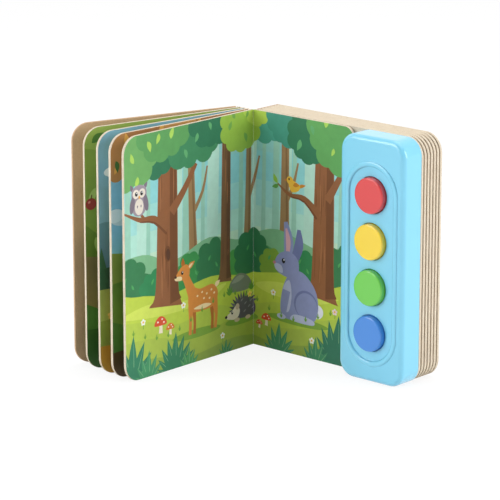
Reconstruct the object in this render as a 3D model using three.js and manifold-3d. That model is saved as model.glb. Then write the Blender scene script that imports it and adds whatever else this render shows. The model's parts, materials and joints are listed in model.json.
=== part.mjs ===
// A children's sound book: a board book standing half open on its lower edges, with a battery
// sound module along its fore edge. Millimetres, +Z up. X runs along the right-hand page away
// from the spine, Y runs from the reader into the block, and the fold between the two open
// pages stands at X = 0, Y = 0 until the whole book is centred over its base at the end.

import * as THREE from 'three';
import { mergeVertices } from 'three/addons/utils/BufferGeometryUtils.js';
import Module from 'manifold-3d';

const wasm = await Module();
wasm.setup();

// Clearance between pieces that touch, how far a cut runs past what it cuts, and the sides of
// round pieces
const seat = 0.3;
const cutPast = 1;
const smallSides = 12;
const roundSides = 20;
const speakerSides = 28;
const buttonSides = 36;
const holeSides = 8;
const roundOverSteps = 3;

// Boards
const pageHeight = 180;
const boardThickness = 2.2;
const grooveWidth = 1.28;
const grooveDepth = 1.1;

// Right-hand half: the right page, the block boards behind it and the back cover
const blockWidth = 156.2;
const blockBoardCount = 6;
const blockCornerRadius = 14;
const rightPageCornerRadius = 8.5;
const spineSetback = 0.6;
const spinePanelThickness = 1;

// Front half: leaves fanned from the fold, each turned a little further than the one before
const leafWidth = 136;
const leafCornerRadius = 13;
const firstLeafTurn = 90;
const leafTurns = [4, 4.2, 5.5];
const coverTurn = 5.9;
const leafPitch = 4;
const foldDepth = 2.4;
const spineTrim = 0.3;
const foldClearance = 0.3;

// Sound module: outer body
const moduleWidth = 59;
const moduleCornerRadius = 12.4;
const moduleProud = 16;
const moduleEdge = 3.7;
const shellWall = 2.2;
const pageToModule = 0.5;

// Rim around the buttons
const rimOuterRadius = 24;
const rimHeight = 150.6;
const rimWidth = 4;
const rimProud = 1.1;
const rimEdge = 0.9;
const panelRecess = 0.5;
const panelDrop = 2.6;

// Buttons
const buttonNames = ['blue', 'green', 'yellow', 'red'];
const buttonPitch = 33.8;
const buttonRadius = 13.1;
const buttonProud = 3.7;
const buttonEdge = 1.3;
const buttonClearance = 0.4;
const buttonFlangeRadius = 14.8;
const buttonFlangeThickness = 1.2;
const stemRadius = 3.2;
const stemLength = 2.6;

// Keypad and circuit board
const domeRadius = 6.2;
const domeTopRadius = 3.6;
const domeHeight = 2.5;
const rubberWall = 0.8;
const matWidth = 26;
const matThickness = 1.2;
const matCornerRadius = 4.3;
const circuitBoardWidth = 49;
const circuitBoardHeight = 124;
const circuitBoardThickness = 1.6;
const circuitCornerRadius = 1;
const chipRadius = 5;
const chipHeight = 1.4;

// Screws and the bosses that they drive into
const bossRadius = 2.6;
const pilotRadius = 1.25;
const screwRadius = 0.95;
const screwHeadRadius = 2.1;
const screwHeadHeight = 1.3;
const screwLength = 7;
const screwSink = 0.2;
const screwRunning = 0.1;
const boardScrewSpread = 20;
const shellScrewSpread = 22.5;
const shellScrewInset = 11;

// Rear shell, a flanged tray that hangs in the window of the block
const flangeThickness = 1.8;
const trayWidth = 44;
const trayMargin = 18;
const trayWall = 1.6;
const trayCornerRadius = 4;
const windowClearance = 0.6;

// Speaker, firing backwards through the back cover
const speakerDrop = 37;
const speakerRadius = 18;
const speakerDepth = 7.2;
const speakerWall = 0.8;
const basketLip = 1.4;
const basketStep = 1.8;
const basketFlare = 1;
const coneEdge = 0.6;
const coneThickness = 0.5;
const dustCapRadius = 5.4;
const dustCapHeight = 2.2;
const magnetRadius = 9;
const magnetThickness = 3.2;
const grillePitch = 5;
const grilleRings = 2;
const grilleHoleRadius = 1.2;
const grilleMargin = 3.5;

// Three button cells end to end in a bay behind a screwed door
const cellRadius = 5.8;
const cellLength = 5.4;
const cellCount = 3;
const cellCapRadius = 4.7;
const cellCapHeight = 0.7;
const cellShoulder = 0.3;
const bayHeight = 30;
const bayWall = 1.4;
const cellClearance = 0.5;
const plateThickness = 0.5;
const springWire = 0.35;
const springLength = 4.6;
const springTurns = 3;
const springWideRadius = 4.3;
const springNarrowRadius = 2;
const springSteps = 36;
const doorWidth = 22;
const doorMargin = 5;
const doorScrewMargin = 9;
const doorThickness = 1.9;
const doorRadius = 3;

// Wires, soldered to the back of the circuit board; the speaker's pair passes beside the chip
const wireRadius = 0.6;
const wireSides = 5;
const wireSteps = 11;
const wireBesideChip = 1;
const wireSlack = 6;
const wireDrop = 8;
const wireBend = 2;

// Places that follow from the sizes above
const rad = THREE.MathUtils.degToRad;
const blockFront = boardThickness + grooveWidth;
const boardStep = boardThickness + grooveWidth;
const backCoverFront = blockFront + blockBoardCount * boardStep;
const backCoverBack = backCoverFront + boardThickness;
const blockSpine = spineSetback + spinePanelThickness + seat;
const moduleLeft = blockWidth - moduleWidth;
const moduleMiddle = blockWidth - moduleWidth / 2;
const moduleFront = -moduleProud;
const shellInside = moduleFront + shellWall;
const shellBack = blockFront - seat;
const rightPageEdge = moduleLeft - pageToModule;
const flangeFront = shellBack - screwHeadHeight - seat - flangeThickness;
const trayBack = backCoverFront - seat;
const panelCentreHeight = pageHeight / 2 - panelDrop;
const trayHeight = pageHeight - 2 * trayMargin;
const trayBottom = (pageHeight - trayHeight) / 2;
const speakerHeight = trayBottom + trayHeight - speakerDrop;
const speakerBack = trayBack - trayWall - seat;
const speakerNose = speakerBack - speakerDepth;
const magnetFront = speakerNose - seat - magnetThickness;
const capFlangeFront = shellInside + seat;
const capFlangeBack = capFlangeFront + buttonFlangeThickness;
const stemEnd = capFlangeBack + stemLength;
const domeTop = stemEnd + seat;
const domeBase = domeTop + domeHeight;
const matFront = domeBase + seat;
const circuitFront = matFront + matThickness + seat;
const circuitBack = circuitFront + circuitBoardThickness;
const bayBottom = trayBottom + trayWall + doorScrewMargin + bayWall;
const bayTop = bayBottom + bayHeight;
const cellAxisDepth = trayBack - cellClearance - cellRadius;
const bayFloor = cellAxisDepth - cellRadius - cellClearance;
const bayHalfWidth = cellRadius + cellClearance + seat;
const doorBottom = bayBottom - doorScrewMargin;
const doorTop = bayTop + doorMargin;
const doorScrewHeight = (doorBottom + bayBottom - bayWall) / 2;
const doorFront = trayBack + seat;
const doorBack = doorFront + doorThickness;
const doorHeadSink = screwHeadHeight + screwSink;
const columnTop = bayTop - seat - plateThickness - seat;

const materials = {
  pageBoard: new THREE.MeshStandardMaterial({ color: 0xefe0c8, roughness: 0.75, metalness: 0 }),
  leafBoard: new THREE.MeshStandardMaterial({ color: 0x6fa55c, roughness: 0.6, metalness: 0 }),
  kraftBoard: new THREE.MeshStandardMaterial({ color: 0xa88866, roughness: 0.85, metalness: 0 }),
  shell: new THREE.MeshStandardMaterial({ color: 0x8fd8f0, roughness: 0.3, metalness: 0 }),
  housing: new THREE.MeshStandardMaterial({ color: 0xe9ecec, roughness: 0.45, metalness: 0 }),
  red: new THREE.MeshStandardMaterial({ color: 0xe2524f, roughness: 0.3, metalness: 0 }),
  yellow: new THREE.MeshStandardMaterial({ color: 0xf5d93f, roughness: 0.3, metalness: 0 }),
  green: new THREE.MeshStandardMaterial({ color: 0x7cd25c, roughness: 0.3, metalness: 0 }),
  blue: new THREE.MeshStandardMaterial({ color: 0x4f95df, roughness: 0.3, metalness: 0 }),
  rubber: new THREE.MeshStandardMaterial({ color: 0x9a9d9f, roughness: 0.9, metalness: 0 }),
  circuit: new THREE.MeshStandardMaterial({ color: 0x2f7d4a, roughness: 0.5, metalness: 0 }),
  epoxy: new THREE.MeshStandardMaterial({ color: 0x1b1b1d, roughness: 0.5, metalness: 0 }),
  steel: new THREE.MeshStandardMaterial({ color: 0xb9bcc0, roughness: 0.35, metalness: 1 }),
  cone: new THREE.MeshStandardMaterial({ color: 0x2b2b2d, roughness: 0.9, metalness: 0 }),
  redWire: new THREE.MeshStandardMaterial({ color: 0xc0342e, roughness: 0.5, metalness: 0 }),
  blackWire: new THREE.MeshStandardMaterial({ color: 0x222224, roughness: 0.5, metalness: 0 }),
};

// A closed geometry as a solid, with shared vertices merged and slivers of no area dropped
function solidOf(geometry) {
  const bare = geometry.clone();
  bare.deleteAttribute('normal');
  bare.deleteAttribute('uv');
  const merged = mergeVertices(bare, 1e-4);
  const corners = merged.index.array;
  const kept = [];
  for (let i = 0; i < corners.length; i += 3) {
    const [a, b, c] = [corners[i], corners[i + 1], corners[i + 2]];
    if (a !== b && b !== c && c !== a) kept.push(a, b, c);
  }
  return new wasm.Manifold(new wasm.Mesh({
    numProp: 3,
    vertProperties: new Float32Array(merged.attributes.position.array),
    triVerts: new Uint32Array(kept),
  }));
}

// A named mesh of one solid
function pieceOf(name, solid, material) {
  const result = solid.getMesh();
  const geometry = new THREE.BufferGeometry();
  geometry.setAttribute('position', new THREE.BufferAttribute(result.vertProperties, 3));
  geometry.setIndex(new THREE.BufferAttribute(result.triVerts, 1));
  geometry.computeVertexNormals();
  const mesh = new THREE.Mesh(geometry, material);
  mesh.name = name;
  return mesh;
}

// A rectangle in X and Z with each corner rounded by its own radius, lower left first and
// then round against the clock
function roundedOutline(left, bottom, right, top, radii) {
  const [a, b, c, d] = radii;
  const shape = new THREE.Shape();
  shape.moveTo(left + a, bottom);
  shape.lineTo(right - b, bottom);
  if (b > 0) shape.absarc(right - b, bottom + b, b, -Math.PI / 2, 0);
  shape.lineTo(right, top - c);
  if (c > 0) shape.absarc(right - c, top - c, c, 0, Math.PI / 2);
  shape.lineTo(left + d, top);
  if (d > 0) shape.absarc(left + d, top - d, d, Math.PI / 2, Math.PI);
  shape.lineTo(left, bottom + a);
  if (a > 0) shape.absarc(left + a, bottom + a, a, Math.PI, 1.5 * Math.PI);
  return shape;
}

// An upright outline with half-round ends
function stadiumOutline(x, z, radius, height) {
  const straight = height / 2 - radius;
  const shape = new THREE.Shape();
  shape.absarc(x, z + straight, radius, 0, Math.PI);
  shape.absarc(x, z - straight, radius, Math.PI, 2 * Math.PI);
  return shape;
}

// An outline drawn in X and Z, given thickness along Y
function plate(outline, front, back, curveSegments = 4) {
  const depth = back - front;
  const geometry = new THREE.ExtrudeGeometry(outline, { depth, bevelEnabled: false, curveSegments });
  geometry.rotateX(Math.PI / 2);
  geometry.translate(0, back, 0);
  return solidOf(geometry);
}

// The same with its front edge rounded over; it runs past its back by twice the rounding
function roundedPlate(outline, front, back, edge, steps, curveSegments) {
  const depth = back - front;
  const geometry = new THREE.ExtrudeGeometry(outline, {
    depth,
    bevelEnabled: true,
    bevelThickness: edge,
    bevelSize: edge,
    bevelOffset: -edge,
    bevelSegments: steps,
    curveSegments,
  });
  geometry.rotateX(Math.PI / 2);
  geometry.translate(0, back + edge, 0);
  return solidOf(geometry);
}

// Everything behind the plane Y = depth, over the whole book
function behind(depth) {
  const reach = 4 * (blockWidth + leafWidth);
  const geometry = new THREE.BoxGeometry(reach, reach, reach);
  geometry.translate(0, depth + reach / 2, 0);
  return solidOf(geometry);
}

// A profile of [radius, depth] pairs turned about an axis along Y through (x, z)
function turned(profile, x, z, segments) {
  const points = profile.map(([radius, depth]) => new THREE.Vector2(radius, depth));
  const geometry = new THREE.LatheGeometry(points, segments);
  geometry.translate(x, 0, z);
  return solidOf(geometry);
}

function rod(x, z, radius, front, back, segments = smallSides) {
  return turned([[0, front], [radius, front], [radius, back], [0, back]], x, z, segments);
}

// Page block: the right page and the block boards behind it are glued together one behind the
// other. They are one solid, with a groove between each two boards along the edges.
function blockOutline(inset) {
  const radius = blockCornerRadius - inset;
  return roundedOutline(blockSpine + inset, inset, blockWidth - inset, pageHeight - inset,
    [0, radius, radius, 0]);
}

function windowOutline() {
  const grow = trayWidth / 2 + windowClearance;
  return roundedOutline(moduleMiddle - grow, trayBottom - windowClearance,
    moduleMiddle + grow, pageHeight - trayBottom + windowClearance,
    Array(4).fill(trayCornerRadius + windowClearance));
}

function pageBlock() {
  const radius = rightPageCornerRadius;
  const pageOutline = roundedOutline(spineSetback, 0, rightPageEdge, pageHeight,
    [0, radius, radius, 0]);
  let block = plate(pageOutline, 0, boardThickness);
  const pageCore = roundedOutline(blockSpine + grooveDepth, grooveDepth,
    rightPageEdge - grooveDepth, pageHeight - grooveDepth, [0, radius, radius, 0]);
  block = block.add(plate(pageCore, boardThickness / 2, blockFront + boardThickness / 2));
  block = block.add(plate(blockOutline(grooveDepth), blockFront + boardThickness / 2,
    backCoverFront - seat));
  for (let i = 0; i < blockBoardCount; i += 1) {
    const front = blockFront + i * boardStep;
    block = block.add(plate(blockOutline(0), front, front + boardThickness));
  }
  return block.subtract(plate(windowOutline(), blockFront - grooveWidth / 2, backCoverBack));
}

// Back cover: the rearmost board, drilled for the speaker and cut for the battery door
function grilleHoles(radius, front, back) {
  const holes = [];
  for (let row = -grilleRings; row <= grilleRings; row += 1) {
    const count = 2 * grilleRings + 1 - Math.abs(row);
    for (let i = 0; i < count; i += 1) {
      const x = moduleMiddle + (i - (count - 1) / 2) * grillePitch;
      const z = speakerHeight + row * grillePitch * Math.sin(Math.PI / 3);
      holes.push(rod(x, z, radius, front, back, holeSides));
    }
  }
  return wasm.Manifold.union(holes);
}

function doorOutline(grow) {
  return roundedOutline(moduleMiddle - doorWidth / 2 - grow, doorBottom - grow,
    moduleMiddle + doorWidth / 2 + grow, doorTop + grow, Array(4).fill(doorRadius + grow));
}

function backCover() {
  const [front, back] = [backCoverFront - cutPast, backCoverBack + cutPast];
  return plate(blockOutline(0), backCoverFront, backCoverBack)
    .subtract(plate(doorOutline(seat), front, back))
    .subtract(grilleHoles(grilleHoleRadius, front, back));
}

// Spine panel: the strip of cover board glued down the spine side of the block
function spinePanel() {
  const outline = roundedOutline(spineSetback, 0, spineSetback + spinePanelThickness, pageHeight,
    [0, 0, 0, 0]);
  return plate(outline, boardThickness + seat, backCoverBack);
}

// Front leaves: each leaf starts at the back of the fold of the one before it
function leafPlaces() {
  const places = [];
  const corner = new THREE.Vector2(0, 0);
  let turn = firstLeafTurn;
  for (const step of [...leafTurns, coverTurn, 0]) {
    places.push({ corner: corner.clone(), turn });
    const back = new THREE.Vector2(-Math.sin(rad(turn)), Math.cos(rad(turn)));
    corner.addScaledVector(back, leafPitch);
    turn -= step;
  }
  return places;
}

// A board set in its place in the fan; its own X runs from the fold to the fore edge, and its
// printed front faces +Y before it is turned
function setInFan(solid, place) {
  return solid.rotate([0, 0, 180 + place.turn]).translate([place.corner.x, place.corner.y, 0]);
}

function leafBoard(start) {
  const outline = roundedOutline(start, 0, leafWidth, pageHeight,
    [0, leafCornerRadius, leafCornerRadius, 0]);
  return plate(outline, -boardThickness, 0);
}

function frontLeaves(places) {
  const leaves = places.slice(0, -1);
  const foldOutline = roundedOutline(foldClearance, 0, foldDepth, pageHeight, [0, 0, 0, 0]);
  const foldBack = -leafPitch + seat / 2;
  let fan = setInFan(leafBoard(foldClearance), leaves[0]);
  leaves.forEach((place, i) => {
    if (i > 0) fan = fan.add(setInFan(leafBoard(0), place));
    const last = i === leaves.length - 1;
    const depth = last ? -leafPitch + seat : foldBack - seat;
    fan = fan.add(setInFan(plate(foldOutline, depth, -boardThickness / 2), place));
  });
  return fan.subtract(behind(spineTrim));
}

function frontCover(place) {
  return setInFan(leafBoard(0), place).subtract(behind(spineTrim));
}

// Module front shell: a moulded tray, open at the back, with a raised rim around a panel of four
// round holes, and bosses inside for the screws
function moduleOutline(inset) {
  const radius = moduleCornerRadius - inset;
  return roundedOutline(moduleLeft + inset, inset, blockWidth - inset, pageHeight - inset,
    Array(4).fill(radius));
}

function buttonHeight(index) {
  return panelCentreHeight + (index - (buttonNames.length - 1) / 2) * buttonPitch;
}

function boardScrewPlaces() {
  const heights = [buttonHeight(0), buttonHeight(buttonNames.length - 1)];
  return [-1, 1].flatMap((side) => heights.map((z) => [moduleMiddle + side * boardScrewSpread, z]));
}

function shellScrewPlaces() {
  const heights = [shellScrewInset, pageHeight - shellScrewInset];
  return [-1, 1].flatMap((side) => heights.map((z) => [moduleMiddle + side * shellScrewSpread, z]));
}

function rim() {
  const outline = stadiumOutline(moduleMiddle, panelCentreHeight, rimOuterRadius, rimHeight);
  outline.holes.push(stadiumOutline(moduleMiddle, panelCentreHeight, rimOuterRadius - rimWidth,
    rimHeight - 2 * rimWidth));
  const root = moduleFront + panelRecess + rimEdge;
  return roundedPlate(outline, moduleFront - rimProud, root, rimEdge, 2, 9)
    .subtract(behind(root));
}

function frontShell() {
  const body = roundedPlate(moduleOutline(0), moduleFront, shellBack, moduleEdge, 4, 4);
  const hollow = roundedPlate(moduleOutline(shellWall), shellInside, shellBack,
    moduleEdge - shellWall, 2, 3);
  const panel = plate(stadiumOutline(moduleMiddle, panelCentreHeight,
    rimOuterRadius - rimWidth / 2, rimHeight - rimWidth),
  moduleFront - rimProud, moduleFront + panelRecess, 9);
  let shell = body.subtract(hollow).subtract(behind(shellBack)).subtract(panel).add(rim());
  for (let i = 0; i < buttonNames.length; i += 1) {
    const radius = buttonRadius + buttonClearance;
    shell = shell.subtract(rod(moduleMiddle, buttonHeight(i), radius,
      moduleFront - cutPast, shellInside + cutPast, buttonSides));
  }
  const root = shellInside - shellWall / 2;
  const posts = [
    ...boardScrewPlaces().map((place) => ({ place, end: circuitFront - seat })),
    ...shellScrewPlaces().map((place) => ({ place, end: flangeFront - seat })),
  ];
  for (const { place: [x, z], end } of posts) {
    shell = shell.add(rod(x, z, bossRadius, root, end));
    shell = shell.subtract(rod(x, z, pilotRadius, shellInside, end + cutPast));
  }
  return shell;
}

// Button caps: a flat disc with a rounded edge, held behind the hole by its flange, with a stem
// that presses the rubber dome
function buttonCap(index) {
  const front = moduleFront - buttonProud;
  const profile = [[0, front], [buttonRadius - buttonEdge, front]];
  for (let i = 1; i <= roundOverSteps; i += 1) {
    const angle = (Math.PI / 2) * (i / roundOverSteps);
    profile.push([
      buttonRadius - buttonEdge + buttonEdge * Math.sin(angle),
      front + buttonEdge * (1 - Math.cos(angle)),
    ]);
  }
  profile.push([buttonRadius, capFlangeFront]);
  profile.push([buttonFlangeRadius, capFlangeFront]);
  profile.push([buttonFlangeRadius, capFlangeBack]);
  profile.push([stemRadius, capFlangeBack]);
  profile.push([stemRadius, stemEnd]);
  profile.push([0, stemEnd]);
  return turned(profile, moduleMiddle, buttonHeight(index), buttonSides);
}

// Keypad: a rubber dome under each cap, on a rubber mat over the circuit board
function rubberDome(index) {
  return turned([
    [0, domeTop],
    [domeTopRadius, domeTop],
    [domeRadius - rubberWall, domeBase - rubberWall / 2],
    [domeRadius, domeBase - rubberWall / 2],
    [domeRadius, domeBase],
    [domeRadius - 2 * rubberWall, domeBase],
    [domeTopRadius - rubberWall, domeTop + rubberWall],
    [0, domeTop + rubberWall],
  ], moduleMiddle, buttonHeight(index), roundSides);
}

function keypadMat() {
  const reach = (buttonNames.length - 1) * buttonPitch / 2 + matWidth / 2;
  const outline = roundedOutline(moduleMiddle - matWidth / 2, panelCentreHeight - reach,
    moduleMiddle + matWidth / 2, panelCentreHeight + reach, Array(4).fill(matCornerRadius));
  return plate(outline, matFront, matFront + matThickness);
}

function circuitBoard() {
  const half = circuitBoardHeight / 2;
  const outline = roundedOutline(moduleMiddle - circuitBoardWidth / 2, panelCentreHeight - half,
    moduleMiddle + circuitBoardWidth / 2, panelCentreHeight + half,
    Array(4).fill(circuitCornerRadius));
  let board = plate(outline, circuitFront, circuitBack);
  for (const [x, z] of boardScrewPlaces()) {
    board = board.subtract(rod(x, z, pilotRadius, circuitFront - cutPast, circuitBack + cutPast));
  }
  return board;
}

// The bare chip on the board's back lies under a drop of black epoxy, a shallow dome
function chip() {
  const base = circuitBack + seat;
  const profile = [[0, base]];
  for (let i = 0; i <= roundOverSteps; i += 1) {
    const angle = (Math.PI / 2) * (i / roundOverSteps);
    profile.push([chipRadius * Math.cos(angle), base + chipHeight * Math.sin(angle)]);
  }
  return turned(profile, moduleMiddle, panelCentreHeight, roundSides);
}

// A screw seen from behind: its head stands at the back and its shank points to the front
function screw(x, z, headFront) {
  return turned([
    [0, headFront - screwLength],
    [screwRadius, headFront - screwLength + screwRadius],
    [screwRadius, headFront],
    [screwHeadRadius, headFront],
    [screwHeadRadius - screwHeadHeight / 2, headFront + screwHeadHeight],
    [0, headFront + screwHeadHeight],
  ], x, z, smallSides);
}

// Rear shell: a flange inside the front shell and a tray that reaches back through the window,
// with a bay for the cells that opens at its back
function trayOutline(inset) {
  return roundedOutline(moduleMiddle - trayWidth / 2 + inset, trayBottom + inset,
    moduleMiddle + trayWidth / 2 - inset, pageHeight - trayBottom - inset,
    Array(4).fill(trayCornerRadius - inset));
}

function bayOutline(grow) {
  return roundedOutline(moduleMiddle - bayHalfWidth - grow, bayBottom - grow,
    moduleMiddle + bayHalfWidth + grow, bayTop + grow, [0, 0, 0, 0]);
}

function rearShell() {
  const flangeBack = flangeFront + flangeThickness;
  let shell = plate(moduleOutline(shellWall + seat), flangeFront, flangeBack)
    .add(plate(trayOutline(0), flangeFront, trayBack))
    .subtract(plate(trayOutline(trayWall), flangeFront - cutPast, trayBack - trayWall));
  shell = shell
    .add(plate(bayOutline(bayWall), bayFloor - bayWall, trayBack - trayWall / 2))
    .subtract(plate(bayOutline(0), bayFloor, trayBack + cutPast));
  const bossFront = trayBack - screwLength - trayWall;
  shell = shell
    .add(rod(moduleMiddle, doorScrewHeight, bossRadius, bossFront, trayBack - trayWall / 2))
    .subtract(rod(moduleMiddle, doorScrewHeight, pilotRadius, bossFront + cutPast,
      trayBack + cutPast));
  for (const [x, z] of shellScrewPlaces()) {
    shell = shell.subtract(rod(x, z, pilotRadius, flangeFront - cutPast, flangeBack + cutPast));
  }
  const mouthRadius = grilleRings * grillePitch + grilleMargin;
  return shell.subtract(rod(moduleMiddle, speakerHeight, mouthRadius,
    trayBack - trayWall - cutPast, trayBack + cutPast, speakerSides));
}

// Speaker: a pressed basket, a paper cone in it and a magnet on its nose
function speakerBasket() {
  const lip = speakerRadius - basketLip;
  return turned([
    [0, speakerNose],
    [magnetRadius, speakerNose],
    [speakerRadius - basketFlare, speakerBack - basketStep],
    [speakerRadius, speakerBack - basketStep],
    [speakerRadius, speakerBack],
    [lip, speakerBack],
    [lip, speakerBack - basketStep + speakerWall],
    [magnetRadius - speakerWall / 2, speakerNose + speakerWall],
    [0, speakerNose + speakerWall],
  ], moduleMiddle, speakerHeight, speakerSides);
}

function speakerCone() {
  const rimRadius = speakerRadius - basketLip - 1.5 * seat;
  const floorRadius = magnetRadius - speakerWall;
  const floor = speakerNose + speakerWall + seat;
  const rimFront = speakerBack - basketStep + speakerWall + seat;
  return turned([
    [0, floor],
    [floorRadius, floor],
    [rimRadius, rimFront],
    [rimRadius, rimFront + coneThickness],
    [rimRadius - coneEdge, rimFront + coneThickness],
    [floorRadius - coneThickness, floor + coneThickness],
    [dustCapRadius, floor + coneThickness],
    [dustCapRadius / 2, floor + dustCapHeight],
    [0, floor + dustCapHeight + coneThickness],
  ], moduleMiddle, speakerHeight, speakerSides);
}

function speakerMagnet() {
  return rod(moduleMiddle, speakerHeight, magnetRadius, magnetFront, speakerNose - seat,
    speakerSides);
}

// Cells: each is a can with a smaller cap at its lower end, standing in a column along Z
function cell(index) {
  const top = columnTop - index * (cellLength + seat);
  const geometry = new THREE.LatheGeometry([
    new THREE.Vector2(0, 0),
    new THREE.Vector2(cellCapRadius, 0),
    new THREE.Vector2(cellCapRadius + cellShoulder, cellCapHeight),
    new THREE.Vector2(cellRadius, cellCapHeight + cellShoulder),
    new THREE.Vector2(cellRadius, cellLength - cellShoulder),
    new THREE.Vector2(cellRadius - cellShoulder, cellLength),
    new THREE.Vector2(0, cellLength),
  ], roundSides);
  geometry.rotateX(Math.PI / 2);
  geometry.translate(moduleMiddle, cellAxisDepth, top - cellLength);
  return solidOf(geometry);
}

function contactPlate() {
  const outline = roundedOutline(moduleMiddle - cellCapRadius, bayTop - seat - plateThickness,
    moduleMiddle + cellCapRadius, bayTop - seat, [0, 0, 0, 0]);
  return plate(outline, cellAxisDepth - cellCapRadius, cellAxisDepth + cellCapRadius);
}

// The minus contact is a cone-wound spring under the lowest cell
class SpringPath extends THREE.Curve {
  getPoint(t, target = new THREE.Vector3()) {
    const angle = 2 * Math.PI * springTurns * t;
    const radius = THREE.MathUtils.lerp(springWideRadius, springNarrowRadius, t);
    const low = bayBottom + seat + springWire;
    const rise = springLength - 2 * springWire;
    return target.set(
      moduleMiddle + radius * Math.cos(angle),
      cellAxisDepth + radius * Math.sin(angle),
      low + rise * t,
    );
  }
}

function tubeAlong(path, radius, steps, sides) {
  const section = new THREE.Shape();
  for (let i = 0; i < sides; i += 1) {
    const angle = (2 * Math.PI * i) / sides;
    const [x, y] = [radius * Math.cos(angle), radius * Math.sin(angle)];
    if (i === 0) section.moveTo(x, y);
    else section.lineTo(x, y);
  }
  return solidOf(new THREE.ExtrudeGeometry(section, { steps, extrudePath: path, bevelEnabled: false }));
}

// Battery door: a plate in the cut-out of the back cover, with a sunk hole for its screw
function batteryDoor() {
  const [x, z] = [moduleMiddle, doorScrewHeight];
  return plate(doorOutline(0), doorFront, doorBack)
    .subtract(rod(x, z, pilotRadius, doorFront - cutPast, doorBack + cutPast))
    .subtract(rod(x, z, screwHeadRadius + seat, doorBack - doorHeadSink, doorBack + cutPast,
      roundSides));
}

// Wires: from the back of the circuit board to the speaker's nose and to the cells' bay
function wire(points) {
  const path = new THREE.CatmullRomCurve3(points.map((p) => new THREE.Vector3(...p)));
  return tubeAlong(path, wireRadius, wireSteps, wireSides);
}

function speakerWire(side) {
  const aside = chipRadius + wireRadius + wireBesideChip;
  const x = moduleMiddle + side * aside;
  const start = circuitBack + seat;
  const end = speakerHeight - Math.sqrt(magnetRadius ** 2 - aside ** 2) - seat - wireRadius;
  const bend = end - wireSlack;
  const middle = magnetFront + magnetThickness / 2;
  return wire([
    [x, start, bend - wireDrop],
    [x, start + 2 * wireBend, bend - wireDrop],
    [x, magnetFront - wireBend, bend - wireDrop / 2],
    [x, middle, bend],
    [x, middle, end],
  ]);
}

function batteryWire(side) {
  const x = moduleMiddle + side * bayHalfWidth / 2;
  const start = circuitBack + seat;
  const wall = bayFloor - bayWall - seat;
  const middle = (start + wall) / 2;
  return wire([
    [x, start, bayTop + wireDrop],
    [x, middle - wireBend, bayTop + wireDrop],
    [x, middle + wireBend, bayTop - wireSlack],
    [x, wall, bayTop - wireSlack],
  ]);
}

// The book is put together in groups: the fixed half, the sound module in it and the front half
const book = new THREE.Group();
const fixedHalf = new THREE.Group();
const soundModule = new THREE.Group();
const frontHalf = new THREE.Group();
book.add(fixedHalf, frontHalf);
fixedHalf.add(soundModule);

fixedHalf.add(pieceOf('page_block', pageBlock(), materials.pageBoard));
fixedHalf.add(pieceOf('back_cover', backCover(), materials.kraftBoard));
fixedHalf.add(pieceOf('spine_panel', spinePanel(), materials.kraftBoard));

const fanPlaces = leafPlaces();
frontHalf.add(pieceOf('front_leaves', frontLeaves(fanPlaces), materials.leafBoard));
frontHalf.add(pieceOf('front_cover', frontCover(fanPlaces.at(-1)), materials.kraftBoard));

soundModule.add(pieceOf('module_front_shell', frontShell(), materials.shell));
soundModule.add(pieceOf('module_rear_shell', rearShell(), materials.housing));
buttonNames.forEach((name, i) => {
  soundModule.add(pieceOf(`${name}_button`, buttonCap(i), materials[name]));
  soundModule.add(pieceOf(`${name}_dome`, rubberDome(i), materials.rubber));
});
soundModule.add(pieceOf('keypad_mat', keypadMat(), materials.rubber));
soundModule.add(pieceOf('circuit_board', circuitBoard(), materials.circuit));
soundModule.add(pieceOf('sound_chip', chip(), materials.epoxy));
boardScrewPlaces().forEach(([x, z], i) => {
  const piece = screw(x, z, circuitBack + seat);
  soundModule.add(pieceOf(`board_screw_${i + 1}`, piece, materials.steel));
});
shellScrewPlaces().forEach(([x, z], i) => {
  const piece = screw(x, z, flangeFront + flangeThickness + seat);
  soundModule.add(pieceOf(`shell_screw_${i + 1}`, piece, materials.steel));
});
soundModule.add(pieceOf('speaker_basket', speakerBasket(), materials.steel));
soundModule.add(pieceOf('speaker_cone', speakerCone(), materials.cone));
soundModule.add(pieceOf('speaker_magnet', speakerMagnet(), materials.steel));
for (let i = 0; i < cellCount; i += 1) {
  soundModule.add(pieceOf(`button_cell_${i + 1}`, cell(i), materials.steel));
}
soundModule.add(pieceOf('contact_plate', contactPlate(), materials.steel));
const contactSpring = tubeAlong(new SpringPath(), springWire, springSteps, wireSides);
soundModule.add(pieceOf('contact_spring', contactSpring, materials.steel));
soundModule.add(pieceOf('battery_door', batteryDoor(), materials.housing));
const doorScrew = screw(moduleMiddle, doorScrewHeight, doorBack - doorHeadSink + screwRunning);
soundModule.add(pieceOf('door_screw', doorScrew, materials.steel));
soundModule.add(pieceOf('speaker_wire_red', speakerWire(1), materials.redWire));
soundModule.add(pieceOf('speaker_wire_black', speakerWire(-1), materials.blackWire));
soundModule.add(pieceOf('battery_wire_red', batteryWire(1), materials.redWire));
soundModule.add(pieceOf('battery_wire_black', batteryWire(-1), materials.blackWire));

// The origin is the middle of the book's base
book.updateMatrixWorld(true);
const bounds = new THREE.Box3().setFromObject(book, true);
const middle = bounds.getCenter(new THREE.Vector3());
book.position.set(-middle.x, -middle.y, -bounds.min.z);

export default book;
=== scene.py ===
import json
import math
import random

import bmesh
import bpy
from mathutils import Matrix, Vector, geometry


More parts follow.
